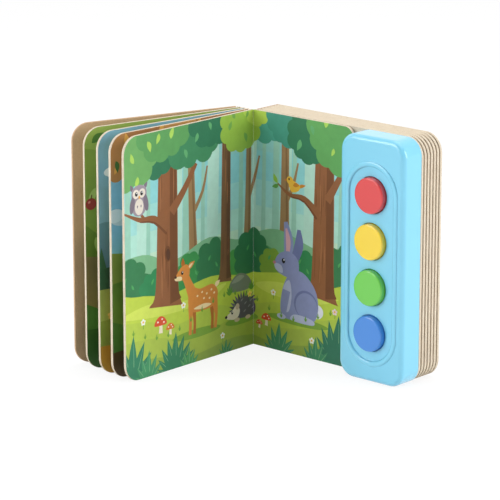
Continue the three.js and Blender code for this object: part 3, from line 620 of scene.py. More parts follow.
def woodland():
    """The open spread: a clearing between trees. x runs from the fold, left pages being negative."""
    bark, bark_shade = "#8F5A36", "#744627"
    art = [field(-145, 110, "#92CBC8")]
    for top, colour in ((150, "#8CCDCF"), (128, "#9DD5CF"), (108, "#AEDCCB"), (92, "#BFE0C4")):
        art.append(field(-145, 110, colour, top))
    for x, half in ((-120, 5), (-82, 4), (-46, 6), (-4, 5), (32, 4), (54, 6), (94, 4)):
        beam = [(x - half, 40), (x + half, 40), (x + half * 1.6, 190), (x - half * 0.4, 190)]
        art.append((beam, "#B4DCCB"))
    for x, half in ((-133, 3), (-112, 2), (-73, 3.4), (-55, 2), (-14, 2.4), (10, 2), (22, 3.4), (40, 2.2),
                    (86, 3.4)):
        stem = [(x - 1, 56, half * 1.3), (x, 104, half), (x + 1.5, 190, half * 0.8)]
        art.append((limb(stem, 3), "#98C9B4"))
    for x, half, lean in ((-64, 3.8, -2), (-8, 3.2, 2), (30, 4.2, 1), (92, 4, -2)):
        stem = [(x, 56, half * 1.5), (x + lean, 108, half), (x + 2 * lean, 190, half * 0.8)]
        shaded = [(x + half * 0.6, 58, 0.6), (x + half * 0.5 + lean, 108, 1), (x + 2 * lean, 186, 0.6)]
        art += [(limb(stem), "#9C7A50"),
                (limb([(x + lean, 112, 2), (x + 9, 128, 1.4), (x + 14, 146, 0.8)], 3), "#9C7A50"),
                (limb(shaded, 3), "#84633F")]
    art += [(blob([(-150, 40), (-150, 84), (-118, 92), (-86, 82), (-48, 92), (-12, 84), (24, 93), (66, 84),
                   (112, 94), (112, 40)]), "#7DB487"),
            (blob([(-150, 40), (-150, 74), (-122, 78), (-92, 74), (-60, 81), (-26, 73), (8, 80), (42, 72),
                   (112, 82), (112, 40)]), "#5E9F63")]
    for x, z, w, h, colour, seed in ((-132, 70, 20, 20, "#357A4B", 1), (-104, 64, 17, 14, "#2F8450", 2),
                                     (-66, 68, 17, 16, "#3C8F4B", 3), (-44, 70, 17, 21, "#33774A", 4),
                                     (-22, 64, 14, 12, "#4C9A49", 5), (-2, 70, 17, 20, "#33774A", 6),
                                     (20, 64, 13, 13, "#7FA33C", 7), (50, 66, 17, 15, "#2F8450", 8),
                                     (88, 70, 20, 22, "#357A4B", 9)):
        art += foliage(x, z, w, h, 9, colour, seed)
        art += [(leaf(x - 5, z + 4, 5, 60, 0.25, 4), "#4FA35C"),
                (leaf(x + 5, z - 2, 5, 120, 0.25, 4), "#4FA35C")]
    art += [hill([(-150, 58), (-124, 62), (-88, 57), (-46, 62), (-6, 56), (36, 61), (70, 56), (112, 61)],
                 "#BCCF48"),
            (blob([(-140, 48), (-112, 54), (-70, 49), (-30, 54), (-52, 44), (-100, 43)]), "#CEDC5C"),
            (blob([(2, 48), (30, 53), (64, 47), (84, 50), (60, 42), (20, 42)]), "#CEDC5C"),
            hill([(-150, 38), (-118, 42), (-80, 33), (-44, 39), (-8, 31), (26, 37), (60, 30), (112, 37)],
                 "#B2C74A"),
            hill([(-150, 24), (-110, 28), (-66, 19), (-20, 25), (24, 18), (70, 24), (112, 19)], "#A8BD49"),
            hill([(-150, 9), (-110, 13), (-66, 6), (-20, 10), (24, 5), (70, 11), (112, 6)], "#93AD46")]
    art += trunk(-93, 52, 180, 12, 9, bark, bark_shade, 21)
    art += trunk(-31, 58, 180, 5.4, 4.4, "#7C5737", "#63432A", 22)
    art += trunk(68, 50, 180, 11, 8.4, bark, bark_shade, 23)
    art += [(limb([(-93, 106, 4), (-106, 116, 2.8), (-120, 118, 1.8), (-136, 125, 0.7)]), bark),
            (limb([(-93, 103, 1), (-106, 113.6, 0.8), (-120, 116.4, 0.5)], 3), bark_shade),
            (limb([(-116, 118, 1.4), (-122, 126, 0.9), (-126, 135, 0.3)]), bark),
            (limb([(-88, 118, 4), (-74, 133, 2.8), (-62, 150, 2)]), bark),
            (limb([(64, 110, 3.6), (50, 120, 2.4), (36, 121, 1.5), (24, 128, 0.5)]), bark),
            (limb([(62, 107, 1), (50, 117.8, 0.7), (37, 119.8, 0.4)], 3), bark_shade),
            (limb([(72, 122, 3.6), (82, 138, 2.6), (90, 152, 2)]), bark),
            (oval(-92, 88, 3.4, 6, 4, 22), bark_shade), (oval(-91.6, 87.4, 2.2, 4.4, 4, 20), "#5A3520")]
    for x, z, w, h, colour, seed in ((-104, 166, 20, 19, "#2F7350", 30), (-66, 172, 30, 24, "#3F8559", 31),
                                     (-132, 172, 30, 29, "#6CA65E", 32), (-96, 182, 26, 24, "#5B9A57", 33),
                                     (-44, 182, 24, 22, "#2F7350", 34), (12, 178, 20, 20, "#4A9A86", 36),
                                     (-14, 172, 20, 22, "#93B744", 35), (4, 184, 14, 15, "#A9C54E", 44),
                                     (34, 176, 19, 18, "#3F8D78", 37), (54, 168, 18, 21, "#2F7350", 38),
                                     (84, 172, 28, 27, "#5E9F57", 39)):
        art += foliage(x, z, w, h, 11, colour, seed)
    art += scattered_leaves(((-126, 160), (-112, 174), (-136, 178), (-122, 150), (-142, 162), (-88, 172),
                             (-100, 178), (78, 162), (92, 174), (70, 176), (86, 152), (98, 160)),
                            "#A9CF5B", 8, 5)
    art += scattered_leaves(((-10, 164), (-20, 176), (-6, 180), (-26, 168)), "#6FA24A", 7, 6)
    art += scattered_leaves(((-60, 172), (-74, 162), (-48, 178), (56, 176), (46, 164)), "#5FA66B", 8, 7)
    art += [(leaf(-126, 135, 8, 70, 0.3), "#7FB04A"), (leaf(-136, 125, 8, 160, 0.3), "#5C9A3F"),
            (leaf(24, 128, 8, 120, 0.3), "#8CBB3F"), (leaf(25, 127, 7, 200, 0.3), "#5C9A3F")]
    art += placed(-121, 123, owl()) + placed(40, 125, bird("#E8B53A", "#CB8427"))
    for x, z, half in ((-62, 22, 26), (44, 26, 30), (-13, 22, 18)):
        art.append((oval(x, z, half, 3.4, 0, 28), "#7EA53A"))
    art += [(blob([(-27, 46), (-25, 53), (-17, 58), (-8, 56), (-2, 49), (-3, 45), (-14, 44)]), "#77806F"),
            (blob([(-24, 52), (-17, 56.6), (-10, 55), (-16, 52)]), "#929A84")]
    art += fern(-26, 43, 9, 5, 90, "#5E9436") + fern(-2, 43, 8, 5, 90, "#5E9436")
    art += placed(-58, 22, deer()) + placed(-13, 22, hedgehog()) + placed(36, 26, rabbit())
    art += mushroom(-100, 30, 8) + mushroom(-90, 27, 5.5, "#D97A2C")
    art += mushroom(13, 17, 6) + mushroom(6, 14, 4)
    for x, z, colour in ((-118, 42, "#F4F4EA"), (-34, 14, "#F4F4EA"), (-76, 46, "#F4F4EA"),
                         (20, 44, "#F4F4EA"), (80, 40, "#F0D3DC"), (-4, 40, "#F1DB6A"),
                         (58, 14, "#F4F4EA")):
        art += flower(x, z, 1.6, colour)
    for x in range(-132, 96, 12):
        art += fern(x + 4, 34 + 9 * math.sin(x), 5, 3, 50, "#6F9F38")
    for x, z, height, count, spread, colour in (
            (-128, -6, 40, 7, 110, "#2C7A58"), (-112, -6, 26, 7, 120, "#3F9060"),
            (-84, -6, 34, 9, 130, "#2F7F57"), (-70, -6, 20, 7, 120, "#4B9A58"),
            (-30, -4, 15, 7, 130, "#3F8F50"), (26, -5, 27, 7, 120, "#3F9060"),
            (84, -6, 44, 9, 110, "#2C7458"), (62, -6, 24, 7, 120, "#3B8A5F")):
        art += fern(x, z, height, count, spread, colour)
    return art


def printed_sheet(name, outline, art, face, material, matrix=None):
    """A sheet of printed paper. The inks are flat shapes, painted one over another and cut into
    one mesh, and face gives the three places of a point: its front, its back and its outward side."""
    shapes = [(outline, "#FFFFFF")] + art
    points, faces = [], []
    for shape, _ in shapes:
        loop = counter_clockwise(shape)
        faces.append(list(range(len(points), len(points) + len(loop))))
        points += [Vector(p) for p in loop]
    verts, _, tris, _, _, sources = geometry.delaunay_2d_cdt(points, [], faces, 1, 1e-4, True)
    bm = bmesh.new()
    inks = bm.loops.layers.float_color.new("ink")
    made = [bm.verts.new(face(v.x, v.y, 0)) for v in verts]
    for corners, source in zip(tris, sources):
        if 0 not in source:
            continue
        colour = linear(shapes[max(source)][1])
        try:
            one = bm.faces.new([made[c] for c in corners])
        except ValueError:
            continue
        for loop in one.loops:
            loop[inks] = colour
    bmesh.ops.delete(bm, geom=[v for v in bm.verts if not v.link_faces], context="VERTS")
    border = [e for e in bm.edges if len(e.link_faces) == 1]
    paper = {}
    for edge in border:
        for v in edge.verts:
            if v not in paper:
                back = Vector(face(0, 0, PAPER)) - Vector(face(0, 0, 0))
                paper[v] = bm.verts.new(v.co + back)
    back_edges = []
    for edge in border:
        a, b = edge.verts
        wall = bm.faces.new((a, b, paper[b], paper[a]))
        for loop in wall.loops:
            loop[inks] = PAPER_CUT
        back_edges.append(bm.edges.get((paper[a], paper[b])))
    filled = bmesh.ops.triangle_fill(bm, edges=back_edges, use_beauty=True, use_dissolve=False)
    for item in filled["geom"]:
        if isinstance(item, bmesh.types.BMFace):
            for loop in item.loops:
                loop[inks] = PAPER_CUT
    return finish_mesh(name, bm, material, matrix, 20, 1e-6)


def coated_print_material():
    """Offset print on coated paper: satin, with a faint mottle in the inks and a hint of fibre."""
    # The mottle is about 8 mm across, and the fibre is drawn as coarse as a third of a millimetre.
    material, tree = new_material("coated_print")
    ink = node(tree, "ShaderNodeAttribute", attribute_name="ink")
    mottle = node(tree, "ShaderNodeTexNoise", {"Vector": object_millimetres(tree), "Scale": 0.12,
                                               "Detail": 5.0, "Roughness": 0.65})
    spread = node(tree, "ShaderNodeMapRange", {"Value": mottle.outputs["Fac"], "From Min": 0.3,
                                               "From Max": 0.7, "To Min": 0.93, "To Max": 1.05})
    toned = node(tree, "ShaderNodeMix", {0: 1.0, 6: ink.outputs["Color"], 7: spread.outputs[0]},
                 data_type="RGBA", blend_type="MULTIPLY")
    fibre = node(tree, "ShaderNodeTexNoise", {"Vector": object_millimetres(tree), "Scale": 3.0,
                                              "Detail": 2.0})
    skin = surfaced(tree, toned.outputs[2], 0.48, fibre.outputs["Fac"], 0.06)
    skin.inputs["Specular IOR Level"].default_value = 0.35
    return material


coated_print = coated_print_material()
right_board = plate("right_page_board", board_shape(RIGHT_START, RIGHT_EDGE, RIGHT_CORNER), [], PAPER, BOARD,
                    BOARD_EDGE, cut_board)
right_sunk = board_shape(BLOCK_SPINE + 1, RIGHT_EDGE - GROOVE_DEPTH, RIGHT_CORNER, GROOVE_DEPTH)
right_liner = plate("right_page_liner", right_sunk, [], BOARD - TOUCH, BLOCK_FRONT - TOUCH, LINER_EDGE,
                    brown_liner)
spread_art = woodland()
right_paper = board_shape(FOLD_LINE, RIGHT_EDGE - PAPER_INSET, RIGHT_CORNER, PAPER_INSET)
right_print = printed_sheet("right_page_print", right_paper(), spread_art,
                            lambda x, z, deep: (x, deep, z), coated_print)
for piece in (right_board, right_liner, right_print):
    fit(piece, "page_block", "block")


# Front leaves: four board leaves that fan out from the fold, each hinged by its own paper to the
# back of the one before. Greyboard with a printed sheet glued to each face, die-cut round.
FIRST_TURN = 90
LEAF_TURNS = (4, 4.2, 5.5)
COVER_TURN = 5.9
LEAF_PITCH = 4
FOLD_TRIM = 0.3
FOLD_REACH = 2.4
FOLD_INSET, FOLD_EDGE = 0.2, 0.1


def fan_places():
    """The corner and turn of each leaf, the first being the left page of the open spread."""
    places, corner, turn = [], Vector((0, 0)), FIRST_TURN
    for step in LEAF_TURNS + (COVER_TURN, 0):
        places.append((corner.copy(), turn))
        angle = math.radians(turn)
        corner += LEAF_PITCH * Vector((-math.sin(angle), math.cos(angle)))
        turn -= step
    return places


def fan_matrix(place):
    corner, turn = place
    return Matrix.Translation((corner.x, corner.y, 0)) @ Matrix.Rotation(math.radians(180 + turn), 4, "Z")


def fan_start(place, depth):
    """How far from its corner a board starts, to stay clear of the block behind it."""
    corner, turn = place
    angle = math.radians(turn)
    return max((corner.y + depth * math.cos(angle) - FOLD_TRIM) / math.sin(angle), 0)


def orchard():
    """First leaf: leaves and red apples against warm greens, over brown and green hills."""
    art = [field(-145, 5, "#9CB04A"),
           hill([(-150, 150), (-110, 158), (-60, 148), (10, 156)], "#8AA03C"),
           hill([(-150, 108), (-120, 100), (-70, 112), (10, 104)], "#71892F"),
           hill([(-150, 74), (-126, 84), (-96, 70), (-50, 82), (10, 70)], "#8C7A4A"),
           hill([(-150, 50), (-118, 44), (-70, 56), (10, 46)], "#4E7D33"),
           hill([(-150, 24), (-124, 30), (-80, 20), (10, 26)], "#3B6428")]
    draw = random.Random(11)
    for row in range(5):
        for column in range(8):
            x = -132 + 18 * column + 5 * draw.random() + 7 * (row % 2)
            z = 172 - 17 * row - 6 * draw.random()
            art.append((leaf(x, z, 13, draw.choice((-120, -80, -50, 30, 150)), 0.28),
                        draw.choice(("#3F6A26", "#567F2B", "#B7C866"))))
    for x, z in ((-131, 124), (-98, 140), (-62, 118), (-30, 146), (-118, 162)):
        art += [(oval(x, z, 4.6, 4.4), "#A63A2C"), (oval(x - 1.5, z + 1.5, 1.2, 0.9, 30, 12), "#D9826E"),
                (limb([(x, z + 3.6, 0.5), (x + 0.8, z + 6.8, 0.4)], 2), "#6A4426")]
    for x, z, size in ((-112, 30, 8), (-70, 26, 10), (-28, 32, 8)):
        art += foliage(x, z, size * 1.6, size, 7, "#5F9038", int(-x))
    return art


def lakeside():
    """Second leaf: a blue sky over dark firs, a light meadow and a mustard path."""
    art = [field(-145, 5, "#78AFC8"),
           (oval(-118, 150, 13, 4.5, 0, 26), "#DCEBF0"), (oval(-108, 153, 9, 5, 0, 24), "#E8F2F5"),
           (oval(-52, 138, 16, 5, 0, 26), "#DCEBF0"), (oval(-44, 142, 9, 5, 0, 24), "#E8F2F5"),
           hill([(-150, 98), (-116, 112), (-84, 92), (-40, 110), (10, 94)], "#5E93A6"),
           hill([(-150, 70), (-90, 78), (-30, 70), (10, 76)], "#37694A")]
    for i in range(11):
        x, size = -134 + 13.5 * i, 15 + 5 * ((i * 7) % 4) / 3
        for tier in range(3):
            low, half = 58 + size * 0.7 * tier, size * (0.5 - 0.1 * tier)
            art.append(([(x - half, low), (x + half, low), (x, low + size * 1.1)],
                        "#2C5A3C" if i % 2 else "#3B7350"))
    art += [hill([(-150, 56), (-110, 62), (-60, 54), (10, 62)], "#A9C562"),
            hill([(-150, 34), (-104, 40), (-54, 30), (10, 38)], "#8FB04C"),
            hill([(-150, 17), (-120, 21), (-76, 12), (-30, 19), (10, 13)], "#C9A03C"),
            (oval(-64, 44, 30, 5, 0, 30), "#9FD0E0"), (oval(-60, 45, 20, 2.6, 0, 26), "#C4E4EC")]
    for x, z, colour in ((-126, 44, "#F7E27A"), (-118, 36, "#FFFFFF"), (-20, 28, "#FFFFFF"),
                         (-100, 28, "#F7D9E2")):
        art += flower(x, z, 2, colour)
    return art


def autumn_crowns():
    """Third leaf: an orange crown of leaves over a pale sky, olive hills and dark soil."""
    art = [field(-145, 5, "#86BBD2"),
           (oval(-124, 118, 12, 5, 0, 26), "#C9D6DA"), (oval(-132, 121, 8, 5, 0, 22), "#DDE6E8"),
           (oval(-66, 112, 15, 5, 0, 26), "#C9D6DA"),
           hill([(-150, 82), (-122, 92), (-80, 80), (-30, 94), (10, 84)], "#8E9A4A"),
           hill([(-150, 62), (-100, 70), (-50, 58), (10, 68)], "#6C8B3D"),
           hill([(-150, 42), (-110, 36), (-60, 46), (10, 38)], "#4F7A38"),
           hill([(-150, 15), (-110, 20), (-60, 12), (10, 18)], "#5A3F28")]
    art += trunk(-84, 34, 160, 6, 4.6, "#8A5A38", "#6E452A", 41)
    art += trunk(-24, 36, 160, 5, 4, "#8A5A38", "#6E452A", 42)
    for x, z, w, h, colour in ((-128, 168, 22, 22, "#BC8149"), (-96, 170, 24, 24, "#AE7340"),
                               (-62, 166, 24, 22, "#C98F4E"), (-28, 170, 24, 24, "#AE7340"),
                               (0, 168, 18, 22, "#BC8149")):
        art += foliage(x, z, w, h, 10, colour, int(w + z - x))
    art += scattered_leaves(((-130, 158), (-118, 170), (-104, 160), (-88, 174), (-70, 158), (-52, 172),
                             (-38, 160), (-14, 170)), "#E3A64C", 9, 43)
    art.append((leaf(-131, 161, 9, -80, 0.3), "#3F6A2E"))
    return art + mushroom(-112, 22, 8) + mushroom(-54, 18, 9, "#E8862F")


def plain_meadow(sky, slope, grass, crown, seed):
    """A quieter page for the backs of the leaves: sky, a hill, a field and a row of round trees."""
    draw = random.Random(seed)
    art = [field(-5, 145, sky)]
    for i in range(3):
        x, z = 24 + 44 * i + 8 * draw.random(), 140 + 22 * draw.random()
        art += [(oval(x, z, 13, 4.6, 0, 24), "#F2F6F3"), (oval(x + 7, z + 3, 8, 4.6, 0, 22), "#F2F6F3")]
    art += [hill([(-10, 84), (30, 100), (76, 82), (110, 98), (150, 84)], slope),
            hill([(-10, 52), (40, 60), (90, 50), (150, 58)], grass),
            hill([(-10, 22), (46, 28), (100, 18), (150, 26)], crown)]
    for i in range(5):
        x = 14 + 27 * i + 6 * draw.random()
        art.append((limb([(x, 48, 2.2), (x + 0.5, 66, 1.5)], 2), "#85603F"))
        art += foliage(x, 74 + 8 * draw.random(), 11, 13, 8, crown, seed + i)
    for i in range(6):
        z = 30 + 10 * draw.random()
        art += flower(12 + 23 * i, z, 1.9, draw.choice(("#FFFFFF", "#F7E27A", "#F7D9E2")))
    return art


leaf_fronts = (spread_art, autumn_crowns(), lakeside(), orchard())
leaf_backs = (plain_meadow("#BFE0DA", "#9CCB8E", "#B9CE5C", "#5E9A4A", 51),
              plain_meadow("#F3D9A4", "#D9A25A", "#B98A3C", "#8A5A34", 52),
              plain_meadow("#A9D3E4", "#7FB2A2", "#A9C562", "#3F7A50", 53),
              plain_meadow("#DDE7B0", "#A9BC5E", "#8AA03C", "#587A2C", 54))
places = fan_places()
for i, place in enumerate(places[:-1]):
    number = len(places) - 1 - i
    matrix = fan_matrix(place)
    start = FOLD_TRIM if i == 0 else fan_start(place, BOARD)
    face_start = FOLD_LINE if i == 0 else start + PAPER_INSET
    board = plate(f"leaf_{number}_board", board_shape(start, LEAF_WIDTH, LEAF_CORNER, 0, LEAF_STEPS), [],
                  PAPER - BOARD, -PAPER, BOARD_EDGE, cut_board, matrix)
    front_paper, back_paper = [
        board_shape(left, LEAF_WIDTH - PAPER_INSET, LEAF_CORNER, PAPER_INSET, LEAF_STEPS)()
        for left in (face_start, start + PAPER_INSET)]
    mirrored = [(-x, z) for x, z in front_paper]
    front_print = printed_sheet(f"leaf_{number}_front_print", mirrored, leaf_fronts[i],
                                lambda x, z, deep: (-x, -deep, z), coated_print, matrix)
    back_print = printed_sheet(f"leaf_{number}_back_print", back_paper, leaf_backs[i],
                               lambda x, z, deep: (x, deep - BOARD, z), coated_print, matrix)
    last = i == len(places) - 2
    fold_back = FOLD_TRIM - LEAF_PITCH if last else -LEAF_PITCH
    fold_start = max(fan_start(place, LEAF_PITCH), FOLD_TRIM)
    fold = plate(f"leaf_{number}_fold", board_shape(fold_start, FOLD_REACH, 0, FOLD_INSET), [], fold_back,
                 FOLD_INSET - BOARD, FOLD_EDGE, brown_liner, matrix)
    for piece in (board, front_print, back_print, fold):
        fit(piece, "front_leaves", "front_leaves")


# Front cover: the outermost board of the front half, brown board lined on both faces with
# unbleached kraft paper, whose short fibres and darker specks show. Its edges are worn soft.
LINER = 0.12
LINER_INSET = 0.3
COVER_EDGE = 0.55
KRAFT_EDGE = 0.04


def kraft_paper_material():
    """Unbleached kraft liner: matt brown with fine fibre streaks, specks and slow clouding."""
    # Streaks of 1 mm, specks a little over 1 mm apart and clouds of about 30 mm.
    material, tree = new_material("kraft_paper")
    fibres = node(tree, "ShaderNodeTexNoise", {"Vector": object_millimetres(tree, (1, 1, 0.3)),
                                               "Scale": 0.9, "Detail": 6.0, "Roughness": 0.7})
    clouds = node(tree, "ShaderNodeTexNoise", {"Vector": object_millimetres(tree), "Scale": 0.035,
                                               "Detail": 3.0})
    specks = node(tree, "ShaderNodeTexVoronoi", {"Vector": object_millimetres(tree), "Scale": 0.8})
    fibre_tone = node(tree, "ShaderNodeMapRange", {"Value": fibres.outputs["Fac"], "From Min": 0.3,
                                                   "From Max": 0.7})
    tone = node(tree, "ShaderNodeMix", {0: fibre_tone.outputs[0], 6: linear("#B99776"),
                                        7: linear("#D2B390")}, data_type="RGBA")
    cloud_tone = node(tree, "ShaderNodeMapRange", {"Value": clouds.outputs["Fac"], "From Min": 0.3,
                                                   "From Max": 0.7, "To Min": 0.965, "To Max": 1.03})
    clouded = node(tree, "ShaderNodeMix", {0: 1.0, 6: tone.outputs[2], 7: cloud_tone.outputs[0]},
                   data_type="RGBA", blend_type="MULTIPLY")
    speck = node(tree, "ShaderNodeMapRange", {"Value": specks.outputs["Distance"], "From Min": 0.06,
                                              "From Max": 0.16, "To Min": 0.45, "To Max": 0.0})
    speckled = node(tree, "ShaderNodeMix", {0: speck.outputs[0], 6: clouded.outputs[2],
                                            7: linear("#6E5236")}, data_type="RGBA")
    surfaced(tree, speckled.outputs[2], 0.88, fibres.outputs["Fac"], 0.2)
    return material


kraft_paper = kraft_paper_material()
cover_place = places[-1]
cover_matrix = fan_matrix(cover_place)
cover_start = fan_start(cover_place, BOARD)
cover_shape = board_shape(cover_start, LEAF_WIDTH, LEAF_CORNER, 0, LEAF_STEPS)
liner_shape = board_shape(cover_start + LINER_INSET, LEAF_WIDTH - LINER_INSET, LEAF_CORNER, LINER_INSET,
                          LEAF_STEPS)
for name, shape, front, back, edge in (
        ("cover_board", cover_shape, LINER - BOARD, -LINER, COVER_EDGE),
        ("cover_inside_liner", liner_shape, -LINER, 0, KRAFT_EDGE),
        ("cover_outside_liner", liner_shape, -BOARD, LINER - BOARD, KRAFT_EDGE)):
    piece = plate(name, shape, [], front, back, edge, kraft_paper, cover_matrix)
    fit(piece, "front_cover", "front_cover")


# Back cover and spine: the rearmost board of the block, lined with the same kraft paper, punched
# with a grille for the speaker and cut out for the battery door; a folded strip covers the spine.
BACK_FRONT = 24.36
BACK_BACK = BACK_FRONT + BOARD
DOOR_LOW, DOOR_HIGH, DOOR_HALF, DOOR_CORNER, DOOR_GAP = 21, 65, 11, 3, 0.3
BACK_EDGE = 0.15
STRIP_LEFT, STRIP_RIGHT, STRIP_FRONT, STRIP_CORNER, STRIP_EDGE = 0.6, 1.6, 2.5, 0.3, 0.4
SPEAKER_HEIGHT = 125
GRILLE_PITCH, GRILLE_HOLE, GRILLE_RINGS = 5, 1.2, 2

grille = []
for row in range(-GRILLE_RINGS, GRILLE_RINGS + 1):
    across = 2 * GRILLE_RINGS + 1 - abs(row)
    for i in range(across):
        grille.append(disc(MODULE_MIDDLE + (i - (across - 1) / 2) * GRILLE_PITCH,
                           SPEAKER_HEIGHT + row * GRILLE_PITCH * math.sin(math.pi / 3), GRILLE_HOLE, 24))
door_hole = rounded(MODULE_MIDDLE - DOOR_HALF - DOOR_GAP, DOOR_LOW - DOOR_GAP,
                    MODULE_MIDDLE + DOOR_HALF + DOOR_GAP, DOOR_HIGH + DOOR_GAP,
                    (DOOR_CORNER + DOOR_GAP,) * 4, 8)
back_board = plate("back_cover_board", block_outline, grille + [door_hole], BACK_FRONT, BACK_BACK - LINER,
                   BACK_EDGE, cut_board)
back_shape = board_shape(BLOCK_SPINE, BLOCK_WIDTH - LINER_INSET, BLOCK_CORNER, LINER_INSET, BLOCK_STEPS)
back_liner = plate("back_cover_liner", back_shape, grille + [door_hole], BACK_BACK - LINER, BACK_BACK,
                   KRAFT_EDGE, kraft_paper)
for piece in (back_board, back_liner):
    fit(piece, "back_cover", "block")

spine_strip = plate("spine_strip", rounded(STRIP_LEFT, 0, STRIP_RIGHT, PAGE_HEIGHT, (STRIP_CORNER,) * 4, 4),
                    [], STRIP_FRONT, BACK_BACK, STRIP_EDGE, kraft_paper)
fit(spine_strip, "spine_panel", "block")


# Module front shell: one glossy injection moulding in sky blue, with soft outer edges, a raised
# bead round the button panel and four round holes. It is open at the back, with screw bosses.
MODULE_LEFT, MODULE_RIGHT = 97.2, 156.2
MODULE_CORNER = 12.4
SHELL_FRONT, SHELL_BACK = -16, 3.18
SHELL_EDGE, SHELL_WALL = 3.7, 2.2
PANEL_HEIGHT = 87.4
RIM_RADIUS, RIM_HEIGHT, RIM_WIDTH, RIM_PROUD, RIM_SLOPE = 24, 150.6, 4, 1.1, 1.5
PANEL_RECESS = 0.5
BUTTON_PITCH = 33.8
HOLE_RADIUS, HOLE_EDGE = 13.5, 0.5
SUPPORT = 0.25
BOSS_RADIUS, PILOT_RADIUS, PILOT_FLOOR = 2.6, 1.25, 0.4
BOARD_BOSS_SPREAD, BOARD_BOSS_END = 20, -5.4
SHELL_BOSS_SPREAD, SHELL_BOSS_LOW, SHELL_BOSS_END = 22.5, 11, -0.52
button_heights = [PANEL_HEIGHT + (i - 1.5) * BUTTON_PITCH for i in range(4)]


def shell_body(bm, pairs):
    outline = rounded(MODULE_LEFT, 0, MODULE_RIGHT, PAGE_HEIGHT, (MODULE_CORNER,) * 4, 16)
    return [ring(bm, outline(inset), depth) for inset, depth in pairs]


def turned_into(bm, profile, x, z, segments=64):
    """A profile of (radius, depth) pairs turned about an axis through (x, z)."""
    rings = []
    for radius, depth in profile:
        if radius < 1e-6:
            rings.append([bm.verts.new((x, depth, z))])
        else:
            circle = [polar(x, z, radius, 2 * math.pi * i / segments) for i in range(segments)]
            rings.append(ring(bm, circle, depth))
    for one, two in zip(rings, rings[1:]):
        for i in range(segments):
            k = (i + 1) % segments
            if len(one) == 1:
                bm.faces.new((one[0], two[i], two[k]))
            elif len(two) == 1:
                bm.faces.new((one[i], one[k], two[0]))
            else:
                bm.faces.new((one[i], one[k], two[k], two[i]))


def moulded_plastic(name, colour, shade, roughness, coat=0.0):
    """Moulded ABS: an even colour with slow flow marks, a fine spark-eroded grain and soft gloss."""
    # The flow marks are 30 mm wide. The grain is too fine to show, so it is drawn at 0.4 mm.
    material, tree = new_material(name)
    flow = node(tree, "ShaderNodeTexNoise", {"Vector": object_millimetres(tree, (1, 1, 3)), "Scale": 0.03,
                                             "Detail": 2.0})
    tone = node(tree, "ShaderNodeMix", {0: flow.outputs["Fac"], 6: linear(shade), 7: linear(colour)},
                data_type="RGBA")
    grain = node(tree, "ShaderNodeTexNoise", {"Vector": object_millimetres(tree), "Scale": 2.5,
                                              "Detail": 2.0})
    gloss = node(tree, "ShaderNodeMapRange", {"Value": grain.outputs["Fac"], "To Min": roughness * 0.85,
                                              "To Max": roughness * 1.2})
    skin = surfaced(tree, tone.outputs[2], gloss.outputs[0], grain.outputs["Fac"], 0.05)
    skin.inputs["Coat Weight"].default_value = coat
    skin.inputs["Coat Roughness"].default_value = 0.12
    return material


def front_shell_mesh():
    bm = bmesh.new()
    skin = [(0, SHELL_BACK), (0, SHELL_FRONT + SHELL_EDGE + SUPPORT)]
    skin += [(SHELL_EDGE * (1 - math.cos(a)), SHELL_FRONT + SHELL_EDGE * (1 - math.sin(a)))
             for a in arc_steps(10)] + [(SHELL_EDGE + SUPPORT, SHELL_FRONT)]
    outer = shell_body(bm, skin)
    chain(bm, outer)
    bead_front = SHELL_FRONT - RIM_PROUD
    panel = SHELL_FRONT + PANEL_RECESS
    foot = 0.2
    bead = [(-SUPPORT - foot, SHELL_FRONT), (-foot, SHELL_FRONT)]
    bead += [(RIM_SLOPE * (1 - math.cos(a)), bead_front + (RIM_PROUD - foot) * (1 - math.sin(a)))
             for a in arc_steps(8)]
    bead += [(RIM_WIDTH - RIM_SLOPE * (1 - math.sin(a)), bead_front + (RIM_PROUD + PANEL_RECESS - foot)
              * (1 - math.cos(a))) for a in arc_steps(8)]
    bead += [(RIM_WIDTH + foot, panel), (RIM_WIDTH + foot + SUPPORT, panel)]
    bead_outline = stadium(MODULE_MIDDLE, PANEL_HEIGHT, RIM_RADIUS, RIM_HEIGHT, 40)
    bead_rings = [ring(bm, bead_outline(inset), depth) for inset, depth in bead]
    chain(bm, bead_rings)
    fill(bm, [outer[-1], bead_rings[0]])
    mouths, throats = [], []
    inside = SHELL_FRONT + SHELL_WALL
    for height in button_heights:
        hole = disc(MODULE_MIDDLE, height, HOLE_RADIUS, 72)
        lip = [(-HOLE_EDGE - SUPPORT, panel)]
        lip += [(-HOLE_EDGE * (1 - math.sin(a)), panel + HOLE_EDGE * (1 - math.cos(a))) for a in arc_steps(5)]
        lip_rings = [ring(bm, hole(inset), depth) for inset, depth in lip + [(0, inside)]]
        chain(bm, lip_rings)
        mouths.append(lip_rings[0])
        throats.append(lip_rings[-1])
    fill(bm, [bead_rings[-1]] + mouths)
    inner_edge = SHELL_EDGE - SHELL_WALL
    lining = [(SHELL_WALL + inner_edge * (1 - math.sin(a)), inside + inner_edge * (1 - math.cos(a)))
              for a in arc_steps(4)] + [(SHELL_WALL, SHELL_BACK), (0, SHELL_BACK)]
    inner = shell_body(bm, lining)
    chain(bm, inner)
    fill(bm, [inner[0]] + throats)
    for side in (-1, 1):
        for spread, height, end in (
                (BOARD_BOSS_SPREAD, button_heights[0], BOARD_BOSS_END),
                (BOARD_BOSS_SPREAD, button_heights[3], BOARD_BOSS_END),
                (SHELL_BOSS_SPREAD, SHELL_BOSS_LOW, SHELL_BOSS_END),
                (SHELL_BOSS_SPREAD, PAGE_HEIGHT - SHELL_BOSS_LOW, SHELL_BOSS_END)):
            root = inside - SHELL_WALL / 2
            turned_into(bm, [(0, root), (BOSS_RADIUS, root), (BOSS_RADIUS, end), (PILOT_RADIUS, end),
                             (PILOT_RADIUS, inside + PILOT_FLOOR), (0, inside + PILOT_FLOOR)],
                        MODULE_MIDDLE + side * spread, height, 32)
    return bm


